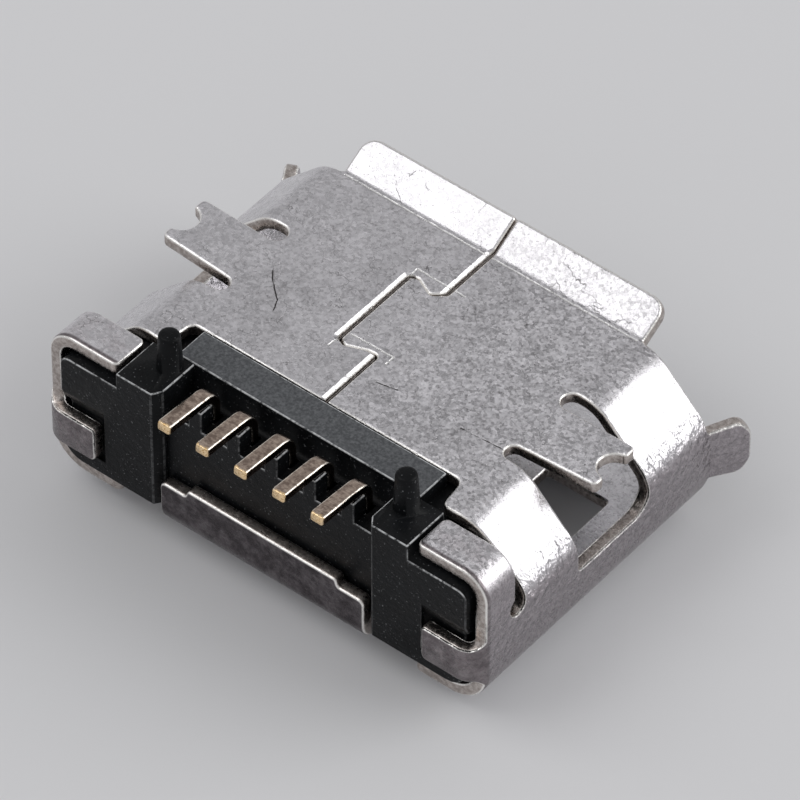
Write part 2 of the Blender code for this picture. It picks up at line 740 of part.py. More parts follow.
def make_housing(collection, cutters, finish):
    inset = SHEET + CLEARANCE
    body = prism_mesh("housing", section(inset, BEND_RADIUS, SHOULDER_DROP), HOUSING_FRONT, EAR_FRONT)
    obj = add_object("housing", body, collection)
    outer, floor = HALF_WIDTH + SHEET, -BODY_HEIGHT
    rear_section = section(SHEET + BLOCK_GAP, EAR_BEND_RADIUS, 0)
    rear = prism_mesh("rear_block", rear_section, SHOULDER_REAR_TOP + CLEARANCE, HOUSING_REAR)
    strip = box_mesh(
        "strip", (-STRIP_HALF_WIDTH, CLEARANCE, POCKET_FLOOR), (STRIP_HALF_WIDTH, STRIP_REAR, STRIP_RISE)
    )
    joined = [("rear_block", rear), ("strip", strip), ("tongue", tongue_mesh())]
    for side, where in ((1, "left"), (-1, "right")):
        joined.append((f"pad_{where}", pad_mesh(side)))
        joined.append((f"peg_{where}", peg_mesh(side * PEG_SPACING / 2)))
    for name, mesh in joined:
        boolean(obj, add_cutter(name, mesh, cutters), "UNION")
    pocket = box_mesh("pocket", (-PAD_INNER, STRIP_REAR, POCKET_FLOOR), (PAD_INNER, HOUSING_REAR, SHEET))
    cut = [
        ("pocket", pocket),
        ("rear_recess", rear_recess_mesh()),
        (
            "flap_bend_room",
            box_mesh(
                "flap_bend_room",
                (-PAD_INNER, FLAP_FOLD, floor),
                (PAD_INNER, HOUSING_REAR, FOLD_RADIUS - BODY_HEIGHT),
            ),
        ),
    ]
    for side, where in ((1, "left"), (-1, "right")):
        cut.append((f"retainer_pocket_{where}", retainer_pocket_mesh(side)))
        ends = sorted((side * (HALF_WIDTH - FOLD_RADIUS), side * outer))
        room = box_mesh(
            "retainer_bend_room",
            (ends[0], RETAINER_FOLD, RETAINER_BOTTOM - RETAINER_BOTTOM_CORNER),
            (ends[1], HOUSING_REAR + SHEET, RETAINER_TOP + RETAINER_TOP_CORNER),
        )
        cut.append((f"retainer_bend_room_{where}", room))
    for i, x in enumerate(contact_places()):
        half_beam = BEAM_WIDTH / 2 + CLEARANCE
        half_tail = TAIL_WIDTH / 2 + CLEARANCE
        groove = box_mesh(
            "groove",
            (x - half_beam, BEAM_FRONT - CLEARANCE, BEAM_LOW - SHEET),
            (x + half_beam, HOUSING_FRONT, BEAM_TOP + CLEARANCE),
        )
        channel = box_mesh(
            "channel",
            (x - half_beam, HOUSING_FRONT - CLEARANCE, BEAM_LOW - CLEARANCE),
            (x + half_beam, LEG_REAR + CLEARANCE, BEAM_TOP + CLEARANCE),
        )
        riser = box_mesh(
            "riser",
            (x - half_tail, LEG_FRONT - CLEARANCE, BEAM_LOW),
            (x + half_tail, LEG_REAR + CLEARANCE, POCKET_FLOOR + SHEET),
        )
        cut += [(f"groove_{i + 1}", groove), (f"channel_{i + 1}", channel), (f"riser_{i + 1}", riser)]
    for name, mesh in cut:
        boolean(obj, add_cutter(name, mesh, cutters), "DIFFERENCE")
    for i, x in enumerate(contact_places()):
        rib = box_mesh(
            "rib",
            (x - TAIL_WIDTH / 2, LEG_REAR + CLEARANCE, POCKET_FLOOR - SHEET),
            (x + TAIL_WIDTH / 2, WALL_REAR, RIB_TOP),
        )
        boolean(obj, add_cutter(f"rib_{i + 1}", rib, cutters), "UNION")
    body.materials.append(finish)
    body.shade_smooth()
    body.set_sharp_from_angle(angle=math.radians(30))
    return obj


TAIL_MIDDLE = TAIL_TOP - CONTACT_THICKNESS / 2
LEG_MIDDLE = (LEG_FRONT + LEG_REAR) / 2
CONTACT_BEND = CONTACT_BEND_RADIUS - CONTACT_THICKNESS / 2
BEAM_MIDDLE = (BEAM_LOW + BEAM_TOP) / 2

TAIL_RUN = (TAIL_REAR - LEG_MIDDLE - CONTACT_BEND * (1 - math.sin(TAIL_FALL))) / math.cos(TAIL_FALL)
ARCH_DROP = TAIL_RUN * math.sin(TAIL_FALL) + CONTACT_BEND * math.cos(TAIL_FALL)

# From the tail's tip, down to the arch, down the leg and forward along the beam, in Y and Z
CONTACT_PATH = Path(
    (TAIL_REAR, TAIL_MIDDLE),
    (-math.cos(TAIL_FALL), -math.sin(TAIL_FALL)),
    [
        (TAIL_RUN, 0),
        (CONTACT_BEND, math.pi / 2 - TAIL_FALL),
        (TAIL_MIDDLE - BEAM_MIDDLE - ARCH_DROP - CONTACT_BEND, 0),
        (CONTACT_BEND, -math.pi / 2),
        (LEG_MIDDLE - CONTACT_BEND - BEAM_FRONT, 0),
    ],
)


def contact_mesh(x):
    """One contact, folded from a flat strip that widens where the beam leaves the leg."""
    half_tail, half_beam = TAIL_WIDTH / 2, BEAM_WIDTH / 2
    widens = CONTACT_PATH.start_of(4) + CONTACT_THICKNESS
    side = [
        (0, half_tail),
        (widens, half_tail),
        (widens + half_beam - half_tail, half_beam),
        (CONTACT_PATH.length - half_tail, half_beam),
        (CONTACT_PATH.length, half_tail),
    ]
    outline = side + [(distance, -across) for distance, across in reversed(side)]
    scores = [(0, distance, lambda u, v: True) for distance in CONTACT_PATH.scores()]

    def fold(point):
        place, heading = CONTACT_PATH.at(point.x)
        place = place + Vector((heading.y, -heading.x)) * point.z
        return Vector((x + point.y, place.x, place.y))

    return bent_sheet("contact", [outline], CONTACT_THICKNESS, scores, fold)


def make_contacts(collection, finish):
    contacts = []
    for i, x in enumerate(contact_places()):
        mesh = contact_mesh(x)
        mesh.shade_smooth()
        mesh.set_sharp_from_angle(angle=math.radians(30))
        mesh.materials.append(finish)
        contacts.append(add_object(f"contact_{i + 1}", mesh, collection))
    return contacts


def place_on_datum(objects, collection):
    """Brings the model to metres, with the bottom centre of its box at the origin."""
    _, lip_rise = turned(LIP_FLAT_LENGTH, HALF_SHEET, LIP_BEND_RADIUS, LIP_ANGLE)
    lip_reach, _ = turned(LIP_FLAT_LENGTH, -HALF_SHEET, LIP_BEND_RADIUS, LIP_ANGLE)
    front, rear = MOUTH_EDGE - lip_reach, TAIL_REAR
    datum = bpy.data.objects.new("board_datum", None)
    collection.objects.link(datum)
    datum.empty_display_size = 1
    datum.scale = (METRES, METRES, METRES)
    datum.location = Vector((0, -(front + rear) / 2, BODY_HEIGHT - HALF_SHEET + lip_rise)) * METRES
    for obj in objects:
        obj.parent = datum


def main():
    for obj in list(bpy.data.objects):
        bpy.data.objects.remove(obj)
    parts = new_collection("micro_usb_socket")
    cutters = new_collection("cutters", hidden=True)
    shell_finish = material("plated_steel", (0.55, 0.54, 0.55), 0.35, 1.0)
    housing_finish = material("black_moulding", (0.03, 0.033, 0.036), 0.55, 0.0)
    contact_finish = material("gold_plate", (0.80, 0.60, 0.32), 0.35, 1.0)
    shell = make_shell(parts, shell_finish)
    housing = make_housing(parts, cutters, housing_finish)
    contacts = make_contacts(parts, contact_finish)
    helpers = list(cutters.objects)
    place_on_datum([shell, housing, *contacts, *helpers], parts)


main()
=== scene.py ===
"""Micro USB socket: plated folded shell, moulded housing and five gold contacts, in a plain studio.

Lengths in this file are in millimetres from the board datum: the middle of the rear edge of the face
that lies on the circuit board. +Z is the board side, -Y is the mouth. The finished meshes are brought
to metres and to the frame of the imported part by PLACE.
"""

import math
from types import SimpleNamespace

import bmesh
import bpy
from mathutils import Matrix, Vector


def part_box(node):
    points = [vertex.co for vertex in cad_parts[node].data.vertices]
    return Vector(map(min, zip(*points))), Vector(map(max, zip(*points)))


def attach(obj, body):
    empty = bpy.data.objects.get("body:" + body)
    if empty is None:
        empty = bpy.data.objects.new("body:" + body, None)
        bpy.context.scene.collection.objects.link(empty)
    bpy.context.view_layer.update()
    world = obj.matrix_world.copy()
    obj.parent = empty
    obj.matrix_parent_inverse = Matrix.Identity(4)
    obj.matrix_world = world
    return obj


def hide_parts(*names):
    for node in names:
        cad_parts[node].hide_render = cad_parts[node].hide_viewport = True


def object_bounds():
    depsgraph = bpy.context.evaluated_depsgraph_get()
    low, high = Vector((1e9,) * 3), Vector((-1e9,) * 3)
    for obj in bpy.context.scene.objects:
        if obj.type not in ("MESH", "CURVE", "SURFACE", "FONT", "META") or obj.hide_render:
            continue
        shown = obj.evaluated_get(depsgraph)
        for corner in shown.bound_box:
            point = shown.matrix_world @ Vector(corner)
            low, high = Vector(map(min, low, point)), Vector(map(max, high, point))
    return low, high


bl_info = {
    "name": "Micro USB Socket",
    "version": (1, 0, 0),
    "blender": (4, 5, 0),
    "location": "View3D > Sidebar > Socket",
    "description": "Builds a surface-mount micro USB socket with its finishes, and a studio to show it in",
    "category": "Add Mesh",
}

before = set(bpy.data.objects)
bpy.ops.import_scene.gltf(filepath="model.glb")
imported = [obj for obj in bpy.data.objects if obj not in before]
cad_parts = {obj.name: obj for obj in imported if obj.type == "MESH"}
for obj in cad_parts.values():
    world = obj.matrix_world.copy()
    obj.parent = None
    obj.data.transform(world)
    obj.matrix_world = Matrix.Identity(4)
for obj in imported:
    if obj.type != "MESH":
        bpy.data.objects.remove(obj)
CAD_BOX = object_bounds()

MM = 1 / 1000
CLEARANCE = 0.03

# Shell: sheet and section
SHEET = 0.20
BODY_WIDTH = 7.46
BODY_HEIGHT = 2.39
SHOULDER_DROP = 0.90
BEND_RADIUS = 0.60
EAR_BEND_RADIUS = 0.42
EAR_RISE = 0.03
FOLD_RADIUS = 0.35
BLANK_CORNER = 0.10
SMALL_CORNER = 0.055
INSIDE_CORNER = 0.055

# Shell: edges along Y
MOUTH_EDGE = -3.50
SHOULDER_REAR_TOP = 0.50
SHOULDER_REAR_SIDE = 0.41
EAR_FRONT = 0.65
EAR_REAR = 1.27
EAR_END = 2.55
NOTCH_HALF_WIDTH = 2.29
NOTCH_CORNER = 0.12
NOTCH_SLANT = 0.06
SHOULDER_CORNER = 0.20
SLIT_BOTTOM = -1.10
SLIT_HOLE_RADIUS = 0.165
COVER_REAR = 1.29
COVER_REAR_INNER_END = 2.54
FLAP_RELIEF_FRONT = 0.93

# Shell: seam between the two halves of the board face
TONGUE_OUT = 0.606
TONGUE_REAR = -1.06
TONGUE_FRONT = -2.48
TONGUE_FLARE = 0.07
TONGUE_NECK = 0.18
TONGUE_SHOULDER = 0.48
TONGUE_CORNER = 0.07

# Shell: lips round the mouth
LIP_ANGLE = math.radians(30)
LIP_BEND_RADIUS = 0.20
LIP_LENGTH = 0.57
LIP_CORNER = 0.25
BOARD_LIP_HALF_WIDTH = 2.57
COVER_LIP_HALF_WIDTH = 2.90
SIDE_LIP_TOP = -1.05
SIDE_LIP_BOTTOM = -1.90

# Shell: solder tabs and the windows that they are cut from
TAB_REACH = 3.70
TAB_REAR = -0.96
TAB_FRONT = -1.89
TAB_TAPER = 0.07
TAB_TIP_CORNER = 0.09
TAB_NOTCH_RADIUS = 0.235
TAB_NOTCH_TURN = 75
SLOT_ROOT = 2.38
REAR_SLOT_WIDTH = 0.26
FRONT_SLOT_WIDTH = 0.30
WINDOW_SILL = -1.36
WINDOW_FRONT_CORNER = 0.30
WINDOW_REAR_CORNER = 0.07
LATCH_INNER = 1.75
LATCH_OUTER = 2.77
LATCH_FRONT = -2.55
LATCH_REAR = -1.35

# Shell: rear flap and retaining tabs
FLAP_HALF_WIDTH = 1.75
FLAP_REAR = 1.385
FLAP_TOP = -1.45
FLAP_STEP = 0.12
FLAP_STEP_AT = 1.27
FLAP_STEP_RUN = 0.04
RETAINER_REAR = 1.49
RETAINER_TOP = -1.22
RETAINER_BOTTOM = -1.83
RETAINER_END = 2.80
RETAINER_TOP_CORNER = 0.14
RETAINER_BOTTOM_CORNER = 0.07
RETAINER_TIP_CORNER = 0.12

# Housing
HOUSING_REAR = 1.37
STRIP_REAR = 0.575
STRIP_RISE = 0.02
PEG_HEIGHT = 0.61
TONGUE_TOP = -0.56
TONGUE_THICKNESS = 0.64

# Contacts
CONTACT_COUNT = 5
CONTACT_PITCH = 0.65
CONTACT_THICKNESS = 0.15
TAIL_WIDTH = 0.22
TAIL_TOP = 0.15
TAIL_REAR = 1.785
TAIL_FALL = math.radians(5)
TAIL_TIP_ROUNDING = 0.035
TAIL_TIP_SCALE = 0.82
TAIL_TIP_STEPS = (0.15, 0.5, 1.0)
LEG_FRONT = 0.735
CONTACT_BEND_RADIUS = 0.30
BEAM_WIDTH = 0.38
BEAM_FRONT = -2.95
BEAM_PROUD = 0.02

# Marks on the board face: the two ends of each line
PRESS_MARKS = [
    ((0.631, -0.83), (0.606, -1.05)),
    ((0.515, -1.174), (-0.184, -1.185)),
    ((-0.184, -1.185), (-0.186, -1.02)),
    ((0.606, -2.41), (0.606, -2.673)),
    ((0.606, -2.673), (0.086, -2.667)),
    ((0.086, -2.667), (-0.222, -2.659)),
    ((-2.5, -3.46), (2.5, -3.46)),
]
SEAM_LINES = [
    ((0, 0), (0, TONGUE_REAR - TONGUE_FLARE / 2)),
    ((TONGUE_OUT, TONGUE_REAR), (TONGUE_OUT, TONGUE_FRONT)),
    ((0, TONGUE_FRONT - TONGUE_FLARE), (0, MOUTH_EDGE)),
]
SCRATCHES = [
    ((2.149, -1.508), (1.991, -1.295)),
    ((1.991, -1.295), (1.70, -1.046)),
    ((1.70, -1.046), (1.585, -0.802)),
    ((-1.692, -0.735), (-2.36, -0.781)),
    ((-0.29, -0.689), (-0.609, -0.757)),
]

# Marks on the sheet: how far from its line each one is gone, and how near it is whole
SCRATCH_REACH = (0.014, 0.006)
PRESS_REACH = (0.018, 0.009)
ROLL_REACH = (0.10, 0.015)
CRACK_REACH = (0.014, 0.004)
CRAZE_REACH = (0.07, 0.02)
ROLLED_DEPTH = 70

# Colours of the sheet
# Painted shade: the side walls are darkened to a mauve grey, standing in for their reflection of a dark floor
WALL_REFLECTION_SHADE = (0.32, 0.29, 0.305, 1)
EAR_FILM = (0.63, 0.60, 0.62, 1)
# Painted shade: the folds at the rear are painted dark and mottled, standing in for their reflection of a
# dark floor
FOLD_REFLECTION_SHADE = ((0.15, 0.130, 0.137, 1), (0.27, 0.242, 0.250, 1))
# Painted shade: the flap is painted very dark and mottled, standing in for its reflection of a dark floor
FLAP_REFLECTION_SHADE = ((0.062, 0.053, 0.058, 1), (0.15, 0.133, 0.141, 1))
PIT_COLOUR = (0.16, 0.15, 0.15, 1)
CRAZE_COLOUR = (0.20, 0.19, 0.195, 1)
CRACK_COLOUR = (0.08, 0.075, 0.075, 1)
SCRATCH_COLOUR = (0.05, 0.045, 0.045, 1)
# Stamping marks: a real shallow groove in the relief, painted near white as a painted highlight
PRESSED_MARK_HIGHLIGHT = (1.0, 0.99, 0.97, 1)
# The seam's rolled edge: a real slope in the relief, painted near white as a painted highlight
ROLLED_EDGE_HIGHLIGHT = (0.95, 0.94, 0.93, 1)
# Painted highlight: a white band along the rounding of every cut edge
CUT_EDGE_HIGHLIGHT = (0.96, 0.94, 0.91, 1)
CUT_FACE = ((0.38, 0.335, 0.31, 1), (0.58, 0.53, 0.50, 1))

# Colours of the moulding
SPECK_COLOUR = (0.30, 0.31, 0.32, 1)
STRIP_FILM = ((0.07, 0.073, 0.078, 1), (0.14, 0.145, 0.152, 1))
# Pale rounded edges of the moulding: partly wear, partly a painted highlight standing in for glints
RUBBED_AND_SHEEN_PLASTIC = (0.62, 0.63, 0.64, 1)

# Colours of the contacts
ALLOY_FILM = ((0.25, 0.19, 0.155, 1), (0.60, 0.485, 0.40, 1))
ROLLING_LINE = (0.24, 0.18, 0.15, 1)
# Painted shade: the contacts' sideways faces are painted dark brown
PAINTED_SIDE_SHADE = (0.13, 0.09, 0.07, 1)
# Painted highlight: near white along the contacts' rounded edges
PAINTED_EDGE_HIGHLIGHT = (0.98, 0.90, 0.80, 1)
TORN_GOLD = (0.60, 0.38, 0.16, 1)

# Sockets of the colour mixing node
MIX_SHARE, MIX_FIRST, MIX_SECOND, MIX_RESULT = 0, 6, 7, 2

# Resolution of bends and outlines
BEND_STEP = math.radians(5)
OUTLINE_STEP = math.radians(6)
RIM_SEGMENTS = 2
MERGE = 1e-5

# Angles that tell flat, smooth and sharp edges apart
FLAT_ANGLE = 0.01
SMOOTH_ANGLE = math.radians(40)
COPLANAR_ANGLE = math.radians(1)
WORN_ANGLE = math.radians(25)

# Which edges of the moulding are rounded: the room that one needs, in radii, the passes that look for it,
# and the cosine below which one edge leads another on
WORN_ROOM = 2.2
WORN_PASSES = 2
LEADS_ON = -0.8

# Camera, from the photograph's viewpoint
VIEW_AZIMUTH = math.radians(219.0)
VIEW_ELEVATION = math.radians(45.98)
VIEW_DISTANCE = 111.21
VIEW_FOCAL_PIXELS = 8430.43
VIEW_PIXELS = 800
VIEW_OFFSET_RIGHT = -0.976
VIEW_OFFSET_UP = -0.015
SENSOR = 36.0
NEAREST_SHOWN = 0.1
FARTHEST_SHOWN = 100

# Studio, in metres: the way to each softbox, how far off it stands and its size
FLOOR_REACH = 0.4
KEY_LIGHT = ((-0.72, -0.54, 0.50), 0.16, 0.12)
OVERHEAD_LIGHT = ((0.44, 0.35, 0.83), 0.18, 0.13)

# Colour of the surroundings
SURROUNDING = (0.55, 0.55, 0.56, 1)

ROOT = "root"
CONTACT_NODES = [f"contact_{i + 1}" for i in range(CONTACT_COUNT)]
DATUM = Vector((0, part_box("housing")[1].y - HOUSING_REAR * MM, CAD_BOX[1].z - PEG_HEIGHT * MM))
PLACE = Matrix.Translation(DATUM) @ Matrix.Scale(MM, 4)

HALF_WIDTH = BODY_WIDTH / 2
HALF_SHEET = SHEET / 2
MIDDLE_BEND = BEND_RADIUS - HALF_SHEET
SHOULDER_TANGENT = BEND_RADIUS * math.tan(math.radians(22.5))
SHOULDER_SLANT = SHOULDER_DROP * math.sqrt(2) - 2 * SHOULDER_TANGENT
WALL_BOTTOM = BEND_RADIUS - BODY_HEIGHT
WALL_TOP = -SHOULDER_DROP - SHOULDER_TANGENT
FACE_HALF_WIDTH = HALF_WIDTH - SHOULDER_DROP - SHOULDER_TANGENT
BEAM_LOW = TONGUE_TOP - TONGUE_THICKNESS - BEAM_PROUD
BEAM_TOP = BEAM_LOW + CONTACT_THICKNESS
LEG_REAR = LEG_FRONT + CONTACT_THICKNESS
TAIL_MIDDLE = TAIL_TOP - CONTACT_THICKNESS / 2
LEG_MIDDLE = (LEG_FRONT + LEG_REAR) / 2
BEAM_MIDDLE = (BEAM_LOW + BEAM_TOP) / 2
CONTACT_BEND = CONTACT_BEND_RADIUS - CONTACT_THICKNESS / 2
TAIL_RUN = (TAIL_REAR - LEG_MIDDLE - CONTACT_BEND * (1 - math.sin(TAIL_FALL))) / math.cos(TAIL_FALL)
ARCH_DROP = TAIL_RUN * math.sin(TAIL_FALL) + CONTACT_BEND * math.cos(TAIL_FALL)


# Outlines


def rounded(corners):
    """The outline through (x, y, radius) corners, each rounded by an arc of that radius."""
    outline = []
    for i, (x, y, radius) in enumerate(corners):
        here = Vector((x, y))
        before = Vector(corners[i - 1][:2]) - here
        after = Vector(corners[(i + 1) % len(corners)][:2]) - here
        if radius <= 0:
            outline.append(here)
            continue
        opening = before.angle(after)
        reach = radius / math.tan(opening / 2)
        inward = (before.normalized() + after.normalized()).normalized()
        middle = here + inward * (radius / math.sin(opening / 2))
        start = here + before.normalized() * reach - middle
        turn = -start.angle_signed(here + after.normalized() * reach - middle)
        steps = max(2, round(abs(turn) / OUTLINE_STEP))
        outline += [middle + Matrix.Rotation(turn * step / steps, 2) @ start for step in range(steps + 1)]
    return outline


def arc(centre, radius, start, end):
    """Points on an arc, both ends included. Angles are in degrees."""
    steps = max(2, round(abs(math.radians(end - start)) / OUTLINE_STEP))
    angles = [math.radians(start + (end - start) * i / steps) for i in range(steps + 1)]
    return [Vector((centre[0] + radius * math.cos(a), centre[1] + radius * math.sin(a))) for a in angles]


def add_object(name, data):
    made = bpy.data.objects.new(name, data)
    bpy.context.scene.collection.objects.link(made)
    return made


def blank_mesh(name, loops, half_thickness, edge):
    """A plate from a filled 2D curve. Loops inside the first one are holes, and edge rounds its rims."""
    curve = bpy.data.curves.new(name, "CURVE")
    curve.dimensions = "2D"
    curve.fill_mode = "BOTH"
    curve.extrude = half_thickness - edge
    curve.bevel_depth = edge
    curve.bevel_resolution = RIM_SEGMENTS
    curve.offset = -edge
    for loop in loops:
        spline = curve.splines.new("POLY")
        spline.points.add(len(loop) - 1)
        for point, place in zip(spline.points, loop):
            point.co = (place[0], place[1], 0, 1)
        spline.use_cyclic_u = True
    mesh = evaluated_mesh(add_object(name, curve), name)
    bpy.data.curves.remove(curve)
    shape = bmesh.new()
    shape.from_mesh(mesh)
    bmesh.ops.remove_doubles(shape, verts=shape.verts, dist=MERGE)
    face_outward(shape)
    return as_mesh(mesh, shape)


def evaluated_mesh(obj, name):
    """The object's mesh with its modifiers applied. The object is removed."""
    mesh = bpy.data.meshes.new_from_object(obj.evaluated_get(bpy.context.evaluated_depsgraph_get()))
    mesh.name = name
    bpy.data.objects.remove(obj)
    return mesh


def face_outward(shape):
    bmesh.ops.recalc_face_normals(shape, faces=shape.faces)
    if shape.calc_volume(signed=True) < 0:
        bmesh.ops.reverse_faces(shape, faces=shape.faces)


def as_mesh(mesh, shape):
    """The mesh, made into the shape. The shape is freed."""
    shape.to_mesh(mesh)
    shape.free()
    return mesh


# Bending


def bend_scores(start, radius, angle):
    steps = max(2, math.ceil(abs(angle) / BEND_STEP))
    return [start + radius * abs(angle) * i / steps for i in range(steps + 1)]


class Path:
    """The middle line of a bent strip: straight runs and arcs, read by distance along it."""

    def __init__(self, start, heading, runs):
        self.runs = []
        self.length = 0.0
        place, direction = Vector(start), Vector(heading).normalized()
        for size, angle in runs:
            self.runs.append((size, angle, place, direction, self.length))
            self.length += size * abs(angle) if angle else size
            place, direction = self.end_of(size, angle, place, direction, 1.0)

    @staticmethod
    def end_of(size, angle, place, direction, share):
        if not angle:
            return place + direction * size * share, direction
        middle = place + Vector((-direction.y, direction.x)) * math.copysign(size, angle)
        turn = Matrix.Rotation(angle * share, 2)
        return middle + turn @ (place - middle), turn @ direction

    def start_of(self, run):
        return self.runs[run][4]

    def at(self, distance):
        """(point, heading) there. Past the end the path runs straight on."""
        size, angle, place, direction, start = self.runs[0]
        for run in self.runs:
            if distance >= run[4]:
                size, angle, place, direction, start = run
        if not angle:
            return place + direction * (distance - start), direction
        return self.end_of(size, angle, place, direction, (distance - start) / (size * abs(angle)))

    def scores(self):
        """Close distances along the path's bends."""
        bends = [run for run in self.runs if run[1]]
        return [place for size, angle, _, _, start in bends for place in bend_scores(start, size, angle)]


def bent_sheet(name, loops, thickness, edge, scores, fold):
    """A blank cut to the outlines, given edges along the scores (axis, place, region), and folded.

    The points keep their place in the blank as the attribute "blank". "rim" is 0 on the sheet's two
    faces, rises over the rounded edge and is 1 on the cut face.
    """
    mesh = blank_mesh(name, loops, thickness / 2, edge)
    shape = bmesh.new()
    shape.from_mesh(mesh)
    for axis, place, _ in scores:
        everything = shape.verts[:] + shape.edges[:] + shape.faces[:]
        spot, normal = Vector((0, 0, 0)), Vector((0, 0, 0))
        spot[axis], normal[axis] = place, 1
        bmesh.ops.bisect_plane(shape, geom=everything, dist=MERGE, plane_co=spot, plane_no=normal)

    def on_score(edge):
        ends = [vert.co for vert in edge.verts]
        middle = (ends[0] + ends[1]) / 2
        return any(
            abs(ends[0][axis] - place) < 2 * MERGE
            and abs(ends[1][axis] - place) < 2 * MERGE
            and region(abs(middle.x), middle.y)
            for axis, place, region in scores
        )

    spare = [edge for edge in shape.edges if edge.calc_face_angle() < FLAT_ANGLE and not on_score(edge)]
    bmesh.ops.dissolve_edges(shape, edges=spare, use_verts=True)
    blank = shape.verts.layers.float_vector.new("blank")
    rim = shape.verts.layers.float.new("rim")
    for vert in shape.verts:
        vert[blank] = vert.co
        vert[rim] = min(1.0, (thickness / 2 - abs(vert.co.z)) / edge)
        vert.co = fold(vert.co)
    face_outward(shape)
    return as_mesh(mesh, shape)


def turned(distance, height, radius, angle):
    """(along, across) of a point this far past the start of a bend, and this far outside its middle."""
    bent = min(distance / radius, angle)
    rest = distance - radius * bent
    along = (radius - height) * math.sin(bent) + rest * math.cos(bent)
    across = radius * (1 - math.cos(bent)) + height * math.cos(bent) + rest * math.sin(bent)
    return along, across


# Placing


def add_piece(name, mesh, stands_for, finish):
    """A finished piece: in the part's frame, shaded smooth with flat faces kept flat, riding on the root."""
    obj = add_object(name, mesh)
    mesh.transform(PLACE)
    mesh.shade_smooth()
    mesh.set_sharp_from_angle(angle=SMOOTH_ANGLE)
    weighted = obj.modifiers.new("flat faces", "WEIGHTED_NORMAL")
    weighted.keep_sharp = True
    mesh.materials.clear()
    mesh.materials.append(finish)
    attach(obj, ROOT)
    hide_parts(*stands_for)
    return obj


# Shell

BODY_PATH = Path(
    (0, HALF_SHEET - BODY_HEIGHT),
    (1, 0),
    [
        (HALF_WIDTH - BEND_RADIUS, 0),
        (MIDDLE_BEND, math.pi / 2),
        (WALL_TOP - WALL_BOTTOM, 0),
        (MIDDLE_BEND, math.pi / 4),
        (SHOULDER_SLANT, 0),
        (MIDDLE_BEND, math.pi / 4),
        (FACE_HALF_WIDTH, 0),
    ],
)
EAR_PATH = Path(
    (0, HALF_SHEET - BODY_HEIGHT),
    (1, 0),
    [
        (HALF_WIDTH - BEND_RADIUS, 0),
        (MIDDLE_BEND, math.pi / 2),
        (EAR_RISE - EAR_BEND_RADIUS - WALL_BOTTOM, 0),
        (EAR_BEND_RADIUS - HALF_SHEET, math.pi / 2),
        (HALF_WIDTH - EAR_BEND_RADIUS - EAR_END, 0),
    ],
)
SEAM = BODY_PATH.length
WALL_START = BODY_PATH.start_of(2)
FLAP_FOLD = FLAP_REAR - FOLD_RADIUS
FLAP_LENGTH = (FOLD_RADIUS - HALF_SHEET) * math.pi / 2 + FLAP_TOP + BODY_HEIGHT - FOLD_RADIUS
RETAINER_FOLD = RETAINER_REAR - FOLD_RADIUS
RETAINER_LENGTH = (FOLD_RADIUS - HALF_SHEET) * math.pi / 2 + HALF_WIDTH - FOLD_RADIUS - RETAINER_END
LIP_EDGE = MOUTH_EDGE - LIP_BEND_RADIUS * LIP_ANGLE - LIP_LENGTH


def on_wall(z):
    """The distance along the section's path at which the side wall has this height."""
    return WALL_START + z - WALL_BOTTOM


def on_face(x):
    """The distance along the section's path of a point on the board face."""
    return SEAM - x


def seam_line():
    """The seam from the rear edge to the mouth: straight, round the tongue, and straight."""
    flare = TONGUE_FLARE
    corners = [
        (0, 0, 0),
        (0, TONGUE_REAR - flare / 2, TONGUE_CORNER),
        (TONGUE_NECK, TONGUE_REAR - flare / 4, TONGUE_CORNER),
        (TONGUE_SHOULDER, TONGUE_REAR + flare * 1.4, TONGUE_CORNER),
        (TONGUE_OUT, TONGUE_REAR + flare / 2, SMALL_CORNER),
        (TONGUE_OUT, TONGUE_FRONT - flare / 2, SMALL_CORNER),
        (TONGUE_SHOULDER, TONGUE_FRONT - flare, TONGUE_CORNER),
        (TONGUE_NECK, TONGUE_FRONT + flare, TONGUE_CORNER),
        (0, TONGUE_FRONT - flare, TONGUE_CORNER),
        (0, MOUTH_EDGE, 0),
    ]
    return rounded(corners)


